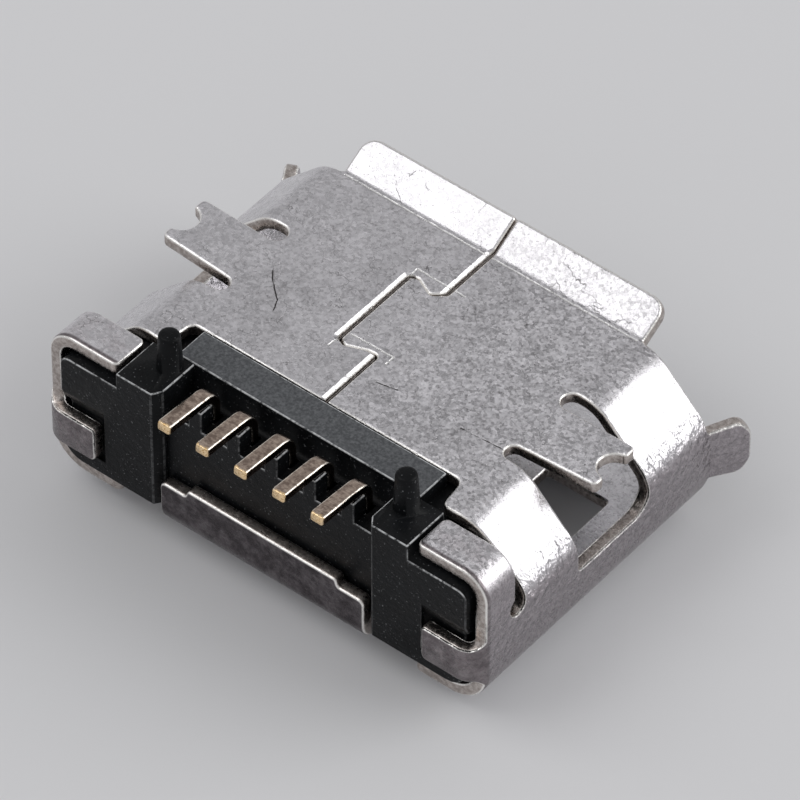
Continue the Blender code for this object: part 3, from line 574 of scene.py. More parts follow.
def half_outline(side, gap):
    """The blank's outline on one side, from the middle of the flap round to the middle of the mouth."""
    flap_edge = FLAP_FOLD + FLAP_LENGTH
    slit_end = Vector((on_wall(SLIT_BOTTOM) + SLIT_HOLE_RADIUS, SHOULDER_REAR_SIDE + SLIT_HOLE_RADIUS))
    slit_start = math.asin((EAR_FRONT - slit_end.y) / SLIT_HOLE_RADIUS)
    rear = rounded(
        [
            (0, flap_edge, 0),
            (FLAP_STEP_AT, flap_edge, SMALL_CORNER),
            (FLAP_STEP_AT + FLAP_STEP_RUN, flap_edge - FLAP_STEP, INSIDE_CORNER),
            (FLAP_HALF_WIDTH, flap_edge - FLAP_STEP, BLANK_CORNER),
            (FLAP_HALF_WIDTH, FLAP_RELIEF_FRONT, BLANK_CORNER),
            (COVER_REAR_INNER_END, FLAP_RELIEF_FRONT, BLANK_CORNER),
            (COVER_REAR_INNER_END, COVER_REAR, BLANK_CORNER),
            (on_wall(RETAINER_BOTTOM), COVER_REAR, RETAINER_BOTTOM_CORNER),
            (on_wall(RETAINER_BOTTOM), RETAINER_FOLD + RETAINER_LENGTH, RETAINER_TIP_CORNER),
            (on_wall(RETAINER_TOP), RETAINER_FOLD + RETAINER_LENGTH, SMALL_CORNER),
            (on_wall(RETAINER_TOP), EAR_REAR, RETAINER_TOP_CORNER),
            (EAR_PATH.length, EAR_REAR, BLANK_CORNER),
            (EAR_PATH.length, EAR_FRONT, BLANK_CORNER),
            (slit_end.x, EAR_FRONT, 0),
        ]
    )[:-1]
    slit = arc(slit_end, SLIT_HOLE_RADIUS, math.degrees(slit_start), 270)
    face = rounded(
        [
            (slit_end.x, SHOULDER_REAR_SIDE, 0),
            (on_face(FACE_HALF_WIDTH + SHOULDER_SLANT), SHOULDER_REAR_SIDE, SHOULDER_CORNER),
            (on_face(FACE_HALF_WIDTH), SHOULDER_REAR_TOP, SHOULDER_CORNER),
            (on_face(NOTCH_HALF_WIDTH + NOTCH_SLANT), SHOULDER_REAR_TOP, NOTCH_CORNER),
            (on_face(NOTCH_HALF_WIDTH), 0, NOTCH_CORNER),
            (on_face(0), 0, 0),
        ]
    )[1:-1]
    seam = [Vector((SEAM - side * point.x - gap / 2, point.y)) for point in seam_line()]
    mouth = rounded(
        [
            (SEAM - gap / 2, MOUTH_EDGE, 0),
            (SEAM - gap / 2, LIP_EDGE, SMALL_CORNER),
            (on_face(BOARD_LIP_HALF_WIDTH), LIP_EDGE, LIP_CORNER),
            (on_face(BOARD_LIP_HALF_WIDTH), MOUTH_EDGE, INSIDE_CORNER),
            (on_wall(SIDE_LIP_TOP), MOUTH_EDGE, INSIDE_CORNER),
            (on_wall(SIDE_LIP_TOP), LIP_EDGE, LIP_CORNER),
            (on_wall(SIDE_LIP_BOTTOM), LIP_EDGE, LIP_CORNER),
            (on_wall(SIDE_LIP_BOTTOM), MOUTH_EDGE, INSIDE_CORNER),
            (COVER_LIP_HALF_WIDTH, MOUTH_EDGE, INSIDE_CORNER),
            (COVER_LIP_HALF_WIDTH, LIP_EDGE, LIP_CORNER),
            (0, LIP_EDGE, 0),
        ]
    )[1:]
    return [Vector((side * point.x, point.y)) for point in rear + slit + face + seam + mouth]


def window_outline(side):
    """The hole in one shoulder, with the solder tab left standing in it."""
    rear_edge = TAB_REAR + REAR_SLOT_WIDTH
    front_edge = TAB_FRONT - FRONT_SLOT_WIDTH
    sill = on_wall(WINDOW_SILL)
    tab_middle = (TAB_REAR + TAB_FRONT) / 2 - TAB_TAPER / 2
    rear_middle = (on_face(SLOT_ROOT + REAR_SLOT_WIDTH / 2), (TAB_REAR + rear_edge) / 2)
    rear_slot = arc(rear_middle, REAR_SLOT_WIDTH / 2, 90, -90)
    front_middle = (on_face(SLOT_ROOT + FRONT_SLOT_WIDTH / 2), (TAB_FRONT + front_edge) / 2)
    front_slot = arc(front_middle, FRONT_SLOT_WIDTH / 2, 90, -90)
    tip = on_face(TAB_REACH)
    tip_rear = rounded(
        [
            (on_face(SLOT_ROOT), TAB_REAR, 0),
            (tip, TAB_REAR - TAB_TAPER, TAB_TIP_CORNER),
            (tip, tab_middle + TAB_NOTCH_RADIUS, INSIDE_CORNER),
            (tip + TAB_NOTCH_RADIUS, tab_middle + TAB_NOTCH_RADIUS, 0),
        ]
    )[1:-1]
    notch = arc((tip, tab_middle), TAB_NOTCH_RADIUS, TAB_NOTCH_TURN, -TAB_NOTCH_TURN)
    tip_front = rounded(
        [
            (tip + TAB_NOTCH_RADIUS, tab_middle - TAB_NOTCH_RADIUS, 0),
            (tip, tab_middle - TAB_NOTCH_RADIUS, INSIDE_CORNER),
            (tip, TAB_FRONT - TAB_TAPER / 3, TAB_TIP_CORNER),
            (on_face(SLOT_ROOT), TAB_FRONT, 0),
        ]
    )[1:-1]
    lower = rounded(
        [
            (on_face(SLOT_ROOT), front_edge, 0),
            (sill, front_edge, WINDOW_FRONT_CORNER),
            (sill, rear_edge, WINDOW_REAR_CORNER),
            (on_face(SLOT_ROOT), rear_edge, 0),
        ]
    )[1:-1]
    points = rear_slot + tip_rear + notch + tip_front + front_slot + lower
    return [Vector((side * point.x, point.y)) for point in points]


def latch_outline(side):
    inner, outer = side * LATCH_INNER, side * LATCH_OUTER
    ends = [(inner, LATCH_FRONT), (outer, LATCH_FRONT), (outer, LATCH_REAR), (inner, LATCH_REAR)]
    return rounded([(x, y, SMALL_CORNER) for x, y in ends])


def in_tab(u, v):
    return u > on_face(TAB_REACH) - HALF_SHEET and TAB_FRONT - TAB_TAPER < v < TAB_REAR + CLEARANCE


def in_flap(u, v):
    return u < FLAP_HALF_WIDTH + CLEARANCE and v > FLAP_FOLD - CLEARANCE


def retainer_share(u):
    """How far the sheet follows a retaining tab's fold: wholly in the tab, and less past its corners."""
    above = (u - on_wall(RETAINER_TOP)) / RETAINER_TOP_CORNER
    below = (on_wall(RETAINER_BOTTOM) - u) / RETAINER_BOTTOM_CORNER
    left = 1 - min(max(above, below, 0), 1)
    return left * left * (3 - 2 * left)


def in_retainer(u, v):
    return retainer_share(u) > 0 and v > RETAINER_FOLD - CLEARANCE


def in_ear(u, v):
    return v > (SHOULDER_REAR_TOP + EAR_FRONT) / 2 and u > WALL_START + HALF_SHEET


def folded(point):
    """Where a point of the flat shell lies once the sheet is folded."""
    side = math.copysign(1, point.x)
    u, v, height = abs(point.x), point.y, point.z
    if in_tab(u, v):
        return Vector((side * (SEAM - u), v, height - HALF_SHEET))
    place, heading = (EAR_PATH if in_ear(u, v) else BODY_PATH).at(u)
    outward = Vector((heading.y, -heading.x))
    inside_radius = FOLD_RADIUS - HALF_SHEET
    if v < MOUTH_EDGE:
        along, across = turned(MOUTH_EDGE - v, height, LIP_BEND_RADIUS, LIP_ANGLE)
        v, height = MOUTH_EDGE - along, across
    elif in_flap(u, v) and v > FLAP_FOLD:
        along, across = turned(v - FLAP_FOLD, -height, inside_radius, math.pi / 2)
        v, height = FLAP_FOLD + along, -across
    elif in_retainer(u, v) and v > RETAINER_FOLD:
        along, across = turned(v - RETAINER_FOLD, -height, inside_radius, math.pi / 2)
        v, height = Vector((v, height)).lerp((RETAINER_FOLD + along, -across), retainer_share(u))
    place = place + outward * height
    return Vector((side * place.x, v, place.y))


def corner_scores(edge, radius):
    """Scores through the points of a rounded corner, so that the sheet beside it can twist."""
    steps = round(math.pi / 2 / OUTLINE_STEP)
    return [edge + radius * (1 - math.cos(math.pi / 2 * i / steps)) for i in range(steps + 1)]


def shell_scores():
    fold_middle = FOLD_RADIUS - HALF_SHEET
    scores = []
    for side in (1, -1):
        for u in BODY_PATH.scores():
            scores.append((0, side * u, lambda u, v: not in_ear(u, v)))
        for u in EAR_PATH.scores():
            scores.append((0, side * u, in_ear))
        for u in corner_scores(on_wall(RETAINER_TOP), RETAINER_TOP_CORNER):
            scores.append((0, side * u, lambda u, v: v > RETAINER_FOLD))
        for u in corner_scores(on_wall(RETAINER_BOTTOM), -RETAINER_BOTTOM_CORNER):
            scores.append((0, side * u, lambda u, v: v > RETAINER_FOLD))
    for v in bend_scores(-MOUTH_EDGE, LIP_BEND_RADIUS, LIP_ANGLE):
        scores.append((1, -v, lambda u, v: True))
    for v in bend_scores(FLAP_FOLD, fold_middle, math.pi / 2):
        scores.append((1, v, in_flap))
    for v in bend_scores(RETAINER_FOLD, fold_middle, math.pi / 2):
        scores.append((1, v, in_retainer))
    return scores


def shell_mesh(gap, edge):
    right, left = half_outline(1, gap), half_outline(-1, gap)
    outer = right[:-1] + left[::-1][:-1]
    holes = [outline(side) for side in (1, -1) for outline in (window_outline, latch_outline)]
    return bent_sheet("shell_skin", [outer, *holes], SHEET, edge, shell_scores(), folded)


# Housing


def room_at(vert, edge, chosen):
    """The shortest edge beside this end of an edge, apart from the chosen edges that lead it on."""
    along = (edge.other_vert(vert).co - vert.co).normalized()
    room = edge.calc_length() * 10
    for other in vert.link_edges:
        if other is edge:
            continue
        away = (other.other_vert(vert).co - vert.co).normalized()
        if other in chosen and along.dot(away) < LEADS_ON:
            continue
        room = min(room, other.calc_length())
    return room


def worn_edges(shape, radius):
    """The outside edges of the moulding that have room for this radius."""
    chosen = {
        edge
        for edge in shape.edges
        if edge.is_manifold and edge.is_convex and edge.calc_face_angle() > WORN_ANGLE
    }
    room = WORN_ROOM * radius
    for _ in range(WORN_PASSES):
        chosen = {edge for edge in chosen if min(room_at(vert, edge, chosen) for vert in edge.verts) > room}
    return list(chosen)


def housing_mesh(radius):
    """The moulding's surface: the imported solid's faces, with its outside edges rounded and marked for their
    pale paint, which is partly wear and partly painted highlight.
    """
    shape = bmesh.new()
    shape.from_mesh(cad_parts["housing"].data)
    bmesh.ops.transform(shape, matrix=PLACE.inverted(), verts=shape.verts)
    bmesh.ops.remove_doubles(shape, verts=shape.verts, dist=MERGE)
    bmesh.ops.dissolve_limit(shape, angle_limit=COPLANAR_ANGLE, verts=shape.verts, edges=shape.edges)
    edge_wear_and_sheen = shape.loops.layers.float.new("edge_wear_and_sheen")
    rounded_off = bmesh.ops.bevel(
        shape, geom=worn_edges(shape, radius), offset=radius, segments=2, profile=0.5, affect="EDGES"
    )
    for face in rounded_off["faces"]:
        for corner in face.loops:
            corner[edge_wear_and_sheen] = 1.0
    return as_mesh(bpy.data.meshes.new("housing_skin"), shape)


# Contacts

CONTACT_PATH = Path(
    (TAIL_REAR, TAIL_MIDDLE),
    (-math.cos(TAIL_FALL), -math.sin(TAIL_FALL)),
    [
        (TAIL_RUN, 0),
        (CONTACT_BEND, math.pi / 2 - TAIL_FALL),
        (TAIL_MIDDLE - BEAM_MIDDLE - ARCH_DROP - CONTACT_BEND, 0),
        (CONTACT_BEND, -math.pi / 2),
        (LEG_MIDDLE - CONTACT_BEND - BEAM_FRONT, 0),
    ],
)


def contact_line():
    """The middle line of one contact as a mesh of edges, with close points where the tip is rounded."""
    tip = [TAIL_TIP_ROUNDING * share for share in TAIL_TIP_STEPS]
    widens = CONTACT_PATH.start_of(4) + CONTACT_THICKNESS
    extra = {*tip, widens, widens + BEAM_WIDTH / 2}
    places = sorted({0.0, CONTACT_PATH.length, *CONTACT_PATH.scores(), *extra})
    points = [CONTACT_PATH.at(distance)[0] for distance in places]
    mesh = bpy.data.meshes.new("contact_line")
    steps = [(i, i + 1) for i in range(len(points) - 1)]
    mesh.from_pydata([(0, point.x, point.y) for point in points], steps, [])
    return mesh


def row_inputs(tree, sizes):
    """Give a nodes tree its geometry in and out and its named inputs. Returns them as sockets."""
    tree.interface.new_socket("Geometry", in_out="INPUT", socket_type="NodeSocketGeometry")
    tree.interface.new_socket("Geometry", in_out="OUTPUT", socket_type="NodeSocketGeometry")
    for name, kind in sizes:
        tree.interface.new_socket(name, in_out="INPUT", socket_type=kind)
    return tree.nodes.new("NodeGroupInput").outputs


def contact_row_nodes():
    """The nodes that sweep a flat strip along a line, widen its beam and repeat it in a row."""
    tree = bpy.data.node_groups.new("contact_row", "GeometryNodeTree")
    lengths = ("Pitch", "Thickness", "Tail Width", "Beam Width", "Beam Front", "Edge Radius", "Tip Rounding")
    sizes = [("Count", "NodeSocketInt"), *((name, "NodeSocketFloat") for name in lengths)]
    asked = row_inputs(tree, [*sizes, ("Finish", "NodeSocketMaterial")])
    line = node(tree, "GeometryNodeMeshToCurve", {"Mesh": asked["Geometry"]}).outputs[0]
    along = node(tree, "GeometryNodeSplineParameter").outputs["Length"]
    line = stored(tree, line, "along", along)
    section = {"Width": asked["Tail Width"], "Height": asked["Thickness"]}
    profile = node(tree, "GeometryNodeCurvePrimitiveQuadrilateral", section).outputs[0]
    fillet = {"Curve": profile, "Count": 3, "Radius": asked["Edge Radius"]}
    profile = node(tree, "GeometryNodeFilletCurve", fillet, mode="POLY").outputs[0]
    place = node(tree, "GeometryNodeInputPosition").outputs[0]
    parts = separated(tree, place)
    half_width = math_node(tree, "MULTIPLY", asked["Tail Width"], 0.5)
    half_thickness = math_node(tree, "MULTIPLY", asked["Thickness"], 0.5)
    profile = stored(tree, profile, "across", math_node(tree, "DIVIDE", parts["X"], half_width))
    profile = stored(tree, profile, "through", math_node(tree, "DIVIDE", parts["Y"], half_thickness))
    past_tip = math_node(tree, "DIVIDE", along, asked["Tip Rounding"], clamp=True)
    swell = spread(tree, math_node(tree, "POWER", past_tip, 0.5), 0, 1, TAIL_TIP_SCALE, 1)
    sweep = {"Curve": line, "Profile Curve": profile, "Scale": swell, "Fill Caps": True}
    strip = node(tree, "GeometryNodeCurveToMesh", sweep).outputs[0]
    ratio = math_node(tree, "DIVIDE", asked["Beam Width"], asked["Tail Width"])
    widening = math_node(tree, "SUBTRACT", ratio, 1.0)
    lean = math_node(tree, "SUBTRACT", asked["Beam Front"], asked["Beam Width"])
    wide = spread(tree, parts["Y"], asked["Beam Front"], lean)
    shift = product(tree, parts["X"], widening, wide)
    offset = node(tree, "ShaderNodeCombineXYZ", {"X": shift}).outputs[0]
    strip = node(tree, "GeometryNodeSetPosition", {"Geometry": strip, "Offset": offset}).outputs[0]
    steps = math_node(tree, "SUBTRACT", asked["Count"], 1)
    first = product(tree, steps, asked["Pitch"], -0.5)
    row = {
        "Count": asked["Count"],
        "Start Location": node(tree, "ShaderNodeCombineXYZ", {"X": first}).outputs[0],
        "Offset": node(tree, "ShaderNodeCombineXYZ", {"X": asked["Pitch"]}).outputs[0],
    }
    points = node(tree, "GeometryNodeMeshLine", row, mode="OFFSET").outputs[0]
    strips = node(tree, "GeometryNodeInstanceOnPoints", {"Points": points, "Instance": strip}).outputs[0]
    strips = node(tree, "GeometryNodeRealizeInstances", {"Geometry": strips}).outputs[0]
    finish = {"Geometry": strips, "Material": asked["Finish"]}
    strips = node(tree, "GeometryNodeSetMaterial", finish).outputs[0]
    node(tree, "NodeGroupOutput", {"Geometry": strips})
    return tree


def stored(tree, geometry, name, value):
    """The geometry with the value kept on its points as a named attribute."""
    inputs = {"Geometry": geometry, "Name": name, "Value": value}
    return node(tree, "GeometryNodeStoreNamedAttribute", inputs, data_type="FLOAT", domain="POINT").outputs[0]


def applied(mesh, tree, values):
    """The mesh that a nodes tree makes of this one, with its named inputs set."""
    holder = add_object(mesh.name, mesh)
    modifier = holder.modifiers.new(tree.name, "NODES")
    modifier.node_group = tree
    for item in tree.interface.items_tree:
        if item.in_out == "INPUT" and item.name in values:
            modifier[item.identifier] = values[item.name]
    return evaluated_mesh(holder, mesh.name)


# Node helpers


def feed(tree, socket, value):
    """Link an input to another node's output, or set it to a value."""
    if isinstance(value, bpy.types.NodeSocket):
        tree.links.new(value, socket)
    else:
        socket.default_value = value


def node(tree, kind, inputs=None, **settings):
    """A node with its settings made and its inputs fed."""
    made = tree.nodes.new(kind)
    for name, value in settings.items():
        setattr(made, name, value)
    for key, value in (inputs or {}).items():
        feed(tree, made.inputs[key], value)
    return made


def math_node(tree, operation, first, second=0.0, third=0.0, clamp=False):
    inputs = {0: first, 1: second, 2: third}
    return node(tree, "ShaderNodeMath", inputs, operation=operation, use_clamp=clamp).outputs[0]


def vector_math(tree, operation, first, second=(0, 0, 0), third=(0, 0, 0)):
    made = node(tree, "ShaderNodeVectorMath", {0: first, 1: second, 2: third}, operation=operation)
    return made.outputs["Value" if operation in ("DOT_PRODUCT", "LENGTH") else "Vector"]


def separated(tree, vector):
    return node(tree, "ShaderNodeSeparateXYZ", {0: vector}).outputs


def product(tree, first, *others):
    for value in others:
        first = math_node(tree, "MULTIPLY", first, value)
    return first


def summed(tree, *parts):
    """The sum of (value, weight) pairs."""
    total = 0.0
    for value, weight in parts:
        total = math_node(tree, "MULTIPLY_ADD", value, weight, total)
    return total


def spread(tree, value, start, end, to_start=0.0, to_end=1.0):
    """The value carried from one range to another, and held past both ends. Either end may be the higher."""
    inputs = {"Value": value, "From Min": start, "From Max": end, "To Min": to_start, "To Max": to_end}
    return node(tree, "ShaderNodeMapRange", inputs, clamp=True).outputs["Result"]


def noise(tree, vector, scale, detail=3.0, roughness=0.55):
    """A soft noise around 0.5. Scale is waves per millimetre."""
    inputs = {"Vector": vector, "Scale": scale, "Detail": detail, "Roughness": roughness}
    return node(tree, "ShaderNodeTexNoise", inputs).outputs["Fac"]


def cells(tree, vector, scale, output, feature="F1"):
    inputs = {"Vector": vector, "Scale": scale}
    return node(tree, "ShaderNodeTexVoronoi", inputs, feature=feature).outputs[output]


def crackle(tree, vector, scale):
    """The distance to the nearest border between cells, in cells."""
    return cells(tree, vector, scale, "Distance", "DISTANCE_TO_EDGE")


def warped(tree, vector, scale, amount):
    """Places pushed about by a noise, so that lines through them wander."""
    inputs = {"Vector": vector, "Scale": scale, "Detail": 3.0}
    push = node(tree, "ShaderNodeTexNoise", inputs).outputs["Color"]
    push = vector_math(tree, "SUBTRACT", push, (0.5, 0.5, 0.5))
    return vector_math(tree, "MULTIPLY_ADD", push, (amount,) * 3, vector)


def attribute(tree, name, output="Fac"):
    return node(tree, "ShaderNodeAttribute", attribute_name=name).outputs[output]


def datum_place(tree):
    """The place on a piece, in millimetres from the board datum."""
    place = node(tree, "ShaderNodeTexCoord").outputs["Object"]
    return vector_math(tree, "MULTIPLY_ADD", place, (1 / MM,) * 3, tuple(-value / MM for value in DATUM))


def normal_part(tree, axis):
    """How far the surface faces along one axis."""
    return separated(tree, node(tree, "ShaderNodeNewGeometry").outputs["Normal"])[axis]


def shade(colour, share):
    return tuple(min(1.0, value * share) for value in colour) + (1,)


def mix_colour(tree, share, first, second, blend="MIX"):
    inputs = {MIX_SHARE: share, MIX_FIRST: first, MIX_SECOND: second}
    return node(tree, "ShaderNodeMix", inputs, data_type="RGBA", blend_type=blend).outputs[MIX_RESULT]


def painted(tree, base, *layers):
    """The base colour under (share, colour) layers, from the lowest to the topmost."""
    for share, colour in layers:
        base = mix_colour(tree, share, base, colour)
    return base


def line_distance_nodes():
    """A group that gives the distance from a place to the line between two points."""
    tree = bpy.data.node_groups.new("line_distance", "ShaderNodeTree")
    for name in ("Place", "Start", "End"):
        tree.interface.new_socket(name, in_out="INPUT", socket_type="NodeSocketVector")
    tree.interface.new_socket("Distance", in_out="OUTPUT", socket_type="NodeSocketFloat")
    asked = tree.nodes.new("NodeGroupInput").outputs
    span = vector_math(tree, "SUBTRACT", asked["End"], asked["Start"])
    reach = vector_math(tree, "SUBTRACT", asked["Place"], asked["Start"])
    size = vector_math(tree, "DOT_PRODUCT", span, span)
    share = math_node(tree, "DIVIDE", vector_math(tree, "DOT_PRODUCT", reach, span), size, clamp=True)
    nearest = node(tree, "ShaderNodeVectorMath", {0: span, "Scale": share}, operation="SCALE").outputs[0]
    distance = vector_math(tree, "LENGTH", vector_math(tree, "SUBTRACT", reach, nearest))
    node(tree, "NodeGroupOutput", {"Distance": distance})
    return tree


def line_reach(tree, group, place, lines):
    """The distance from a place on the board face to the nearest of the lines, each a pair of points."""
    flat = vector_math(tree, "MULTIPLY", place, (1, 1, 0))
    nearest = 1.0
    for start, end in lines:
        inputs = {"Place": flat, "Start": (*start, 0), "End": (*end, 0)}
        distance = node(tree, "ShaderNodeGroup", inputs, node_tree=group).outputs["Distance"]
        nearest = math_node(tree, "MINIMUM", distance, nearest)
    return nearest


def new_material(name):
    made = bpy.data.materials.new(name)
    made.use_nodes = True
    return made, made.node_tree, made.node_tree.nodes["Principled BSDF"]


def feed_shader(tree, shader, colour, roughness, micrometres):
    """Feed a shader its colour, its roughness and its relief, which is a height in micrometres."""
    relief = {"Height": micrometres, "Strength": 1.0, "Distance": MM / 1000}
    bump = node(tree, "ShaderNodeBump", relief).outputs[0]
    inputs = {"Base Color": colour, "Roughness": roughness, "Normal": bump}
    for name, value in inputs.items():
        feed(tree, shader.inputs[name], value)


# Materials


def sheet_regions(tree, place, rim):
    """Where on the folded sheet each finish lies, as shares from 0 to 1."""
    x, y, z = separated(tree, place)
    out = math_node(tree, "ABSOLUTE", x)
    board_face = spread(tree, z, -0.06, -0.04)
    over_bends = spread(tree, out, FACE_HALF_WIDTH - 0.2, HALF_WIDTH - 0.6)
    bends = product(tree, over_bends, spread(tree, z, -1.9, -1.5))
    lips = spread(tree, y, MOUTH_EDGE, MOUTH_EDGE - 0.04)
    rear_folds = spread(tree, y, FLAP_REAR - SHEET - 0.01, FLAP_REAR - SHEET + 0.02)
    beside_tongue = product(
        tree,
        spread(tree, y, TONGUE_FRONT - 0.01, TONGUE_FRONT),
        spread(tree, y, TONGUE_REAR + 0.01, TONGUE_REAR),
    )
    past_seam = math_node(tree, "SUBTRACT", x, product(tree, beside_tongue, TONGUE_OUT))
    return SimpleNamespace(
        board_face=board_face,
        flat_face=spread(tree, z, -0.03, -0.015),
        coarse_face=product(tree, spread(tree, x, 0.4, -1.0), board_face),
        past_seam=spread(tree, past_seam, 0.0, 0.005),
        bends=bends,
        lower_bends=product(tree, bends, spread(tree, z, -0.55, -0.80), spread(tree, rim, 0.6, 0.2)),
        worked=math_node(tree, "MAXIMUM", bends, lips),
        walls=spread(tree, out, HALF_WIDTH - 0.10, HALF_WIDTH - 0.02),
        ears=product(tree, spread(tree, y, EAR_FRONT - 0.1, EAR_FRONT), spread(tree, z, -0.30, -0.05)),
        rear_folds=rear_folds,
        flap=product(tree, rear_folds, spread(tree, out, 2.1, 2.0)),
    )


def sheet_textures(tree, blank, on):
    """The plating's textures, laid out on the flat blank."""
    grain = noise(tree, blank, 26.0, 4.0, 0.7)
    crystal = separated(tree, cells(tree, warped(tree, blank, 20.0, 0.03), 24.0, "Color"))[0]
    return SimpleNamespace(
        cloud=noise(tree, blank, 1.1, 4.0),
        mottle=noise(tree, blank, 5.0, 4.0, 0.65),
        grain=grain,
        crystal=crystal,
        fleck=product(tree, on.coarse_face, summed(tree, (grain, 0.65), (crystal, 0.35), (-0.5, 1.0))),
        wrinkle=noise(tree, warped(tree, blank, 6.0, 0.08), 8.5, 2.0, 0.5),
        pits=spread(tree, noise(tree, blank, 30.0, 2.0), 0.66, 0.74),
        torn=spread(tree, noise(tree, blank, 15.0, 3.0), 0.40, 0.62),
    )


def sheet_marks(tree, place, blank, on, plating):
    """Cracks, scratches, stamping marks and the seam's rolled edge, as shares from 0 to 1."""
    group = line_distance_nodes()
    unsteady = warped(tree, place, 9.0, 0.03)
    crack = crackle(tree, warped(tree, blank, 4.0, 0.35), 2.6)
    cracked = spread(tree, noise(tree, blank, 1.9), 0.50, 0.60)
    craze = crackle(tree, warped(tree, blank, 9.0, 0.16), 8.5)
    crazed = spread(tree, plating.mottle, 0.46, 0.60)
    unworked = math_node(tree, "SUBTRACT", 1.0, on.worked)
    scratch = line_reach(tree, group, unsteady, SCRATCHES)
    scratched = spread(tree, noise(tree, blank, 7.0), 0.32, 0.5)
    press = line_reach(tree, group, unsteady, PRESS_MARKS)
    pressed = spread(tree, plating.grain, 0.34, 0.46)
    seam = line_reach(tree, group, warped(tree, place, 14.0, 0.012), SEAM_LINES)
    return SimpleNamespace(
        crack=product(tree, spread(tree, crack, *CRACK_REACH), cracked, on.flat_face),
        craze=product(tree, spread(tree, craze, *CRAZE_REACH), crazed, unworked),
        scratch=product(tree, spread(tree, scratch, *SCRATCH_REACH), on.board_face, scratched),
        pressed=product(tree, spread(tree, press, *PRESS_REACH), pressed, on.board_face),
        rolled=product(tree, spread(tree, seam, *ROLL_REACH), on.board_face, on.past_seam),
    )


def sheet_colour(tree, colour, rim, on, plating, marks):
    mottle = plating.mottle
    # Painted shade on the folds at the rear, mottled
    fold_shade = mix_colour(tree, spread(tree, mottle, 0.35, 0.65), *FOLD_REFLECTION_SHADE)
    # Painted shade on the flap, mottled
    flap = mix_colour(tree, spread(tree, mottle, 0.40, 0.66), *FLAP_REFLECTION_SHADE)
    # Painted shade: the side walls, the folds at the rear and the flap are painted dark, standing in for
    # their reflection of a dark floor; the cloudy and mottled tones under them are the plating's own
    tints_and_reflection_shade = painted(
        tree,
        mix_colour(tree, spread(tree, plating.cloud, 0.35, 0.65), shade(colour, 0.90), shade(colour, 1.05)),
        (product(tree, spread(tree, mottle, 0.45, 0.7), 0.35), shade(colour, 0.72)),
        (product(tree, on.walls, 0.9), WALL_REFLECTION_SHADE),
        (product(tree, on.ears, spread(tree, mottle, 0.4, 0.65)), EAR_FILM),
        (on.rear_folds, fold_shade),
        (on.flap, flap),
    )
    tone = summed(tree, (plating.grain, 0.60), (plating.crystal, 0.30), (plating.fleck, 0.9), (0.59, 1.0))
    tone = node(tree, "ShaderNodeCombineXYZ", {axis: tone for axis in range(3)}).outputs[0]
    return painted(
        tree,
        mix_colour(tree, 1.0, tints_and_reflection_shade, tone, "MULTIPLY"),
        (product(tree, plating.pits, 0.45), PIT_COLOUR),
        (product(tree, marks.craze, 0.45), CRAZE_COLOUR),
        (product(tree, marks.crack, 0.6), CRACK_COLOUR),
        (marks.scratch, SCRATCH_COLOUR),
        # Painted highlight on the stamping marks, over their real grooves
        (product(tree, marks.pressed, 0.95), PRESSED_MARK_HIGHLIGHT),
        # Painted highlight on the seam's rolled edge, over its real slope
        (product(tree, marks.rolled, 0.8), ROLLED_EDGE_HIGHLIGHT),
        # Painted highlight along the rounding of the cut edges; the torn cut face below keeps its own colour
        (spread(tree, rim, 0.06, 0.20), CUT_EDGE_HIGHLIGHT),
        (spread(tree, rim, 0.40, 0.80), mix_colour(tree, plating.torn, *CUT_FACE)),
    )


def plated_sheet(name, colour):
    """Plated steel sheet.

    The plating is finely pitted and coarser on one side of the seam. It has hairline cracks, scratches,
    orange peel on the shoulders' lower bends, and stamping marks and a rolled edge beside the seam, which
    carry a painted highlight. The side walls and the folds at the rear are darker: a painted reflection of
    a dark floor. The cut edges carry a painted highlight along their rounding and their faces are torn.
    """
    made, tree, shader = new_material(name)
    place = datum_place(tree)
    blank = attribute(tree, "blank", "Vector")
    rim = attribute(tree, "rim")
    on = sheet_regions(tree, place, rim)
    plating = sheet_textures(tree, blank, on)
    marks = sheet_marks(tree, place, blank, on, plating)
    grain, crystal, mottle, wrinkle = plating.grain, plating.crystal, plating.mottle, plating.wrinkle
    roughness = summed(tree, (grain, 0.22), (crystal, 0.10), (mottle, 0.10), (on.worked, -0.05), (0.10, 1.0))
    relief = summed(
        tree,
        (grain, 3.0),
        (crystal, 0.9),
        (plating.fleck, 4.0),
        (plating.pits, -1.5),
        (product(tree, wrinkle, on.bends), 6.0),
        (product(tree, wrinkle, on.lower_bends), 46.0),
        (product(tree, grain, on.walls), 5.0),
        (marks.craze, -1.5),
        (wrinkle, 1.2),
        (marks.crack, -4.0),
        (marks.scratch, -6.0),
        (marks.pressed, -8.0),
        (product(tree, mottle, on.rear_folds), 5.0),
        (marks.rolled, -ROLLED_DEPTH),
    )
    feed_shader(tree, shader, sheet_colour(tree, colour, rim, on, plating, marks), roughness, relief)
    shader.inputs["Metallic"].default_value = 1.0
    return made


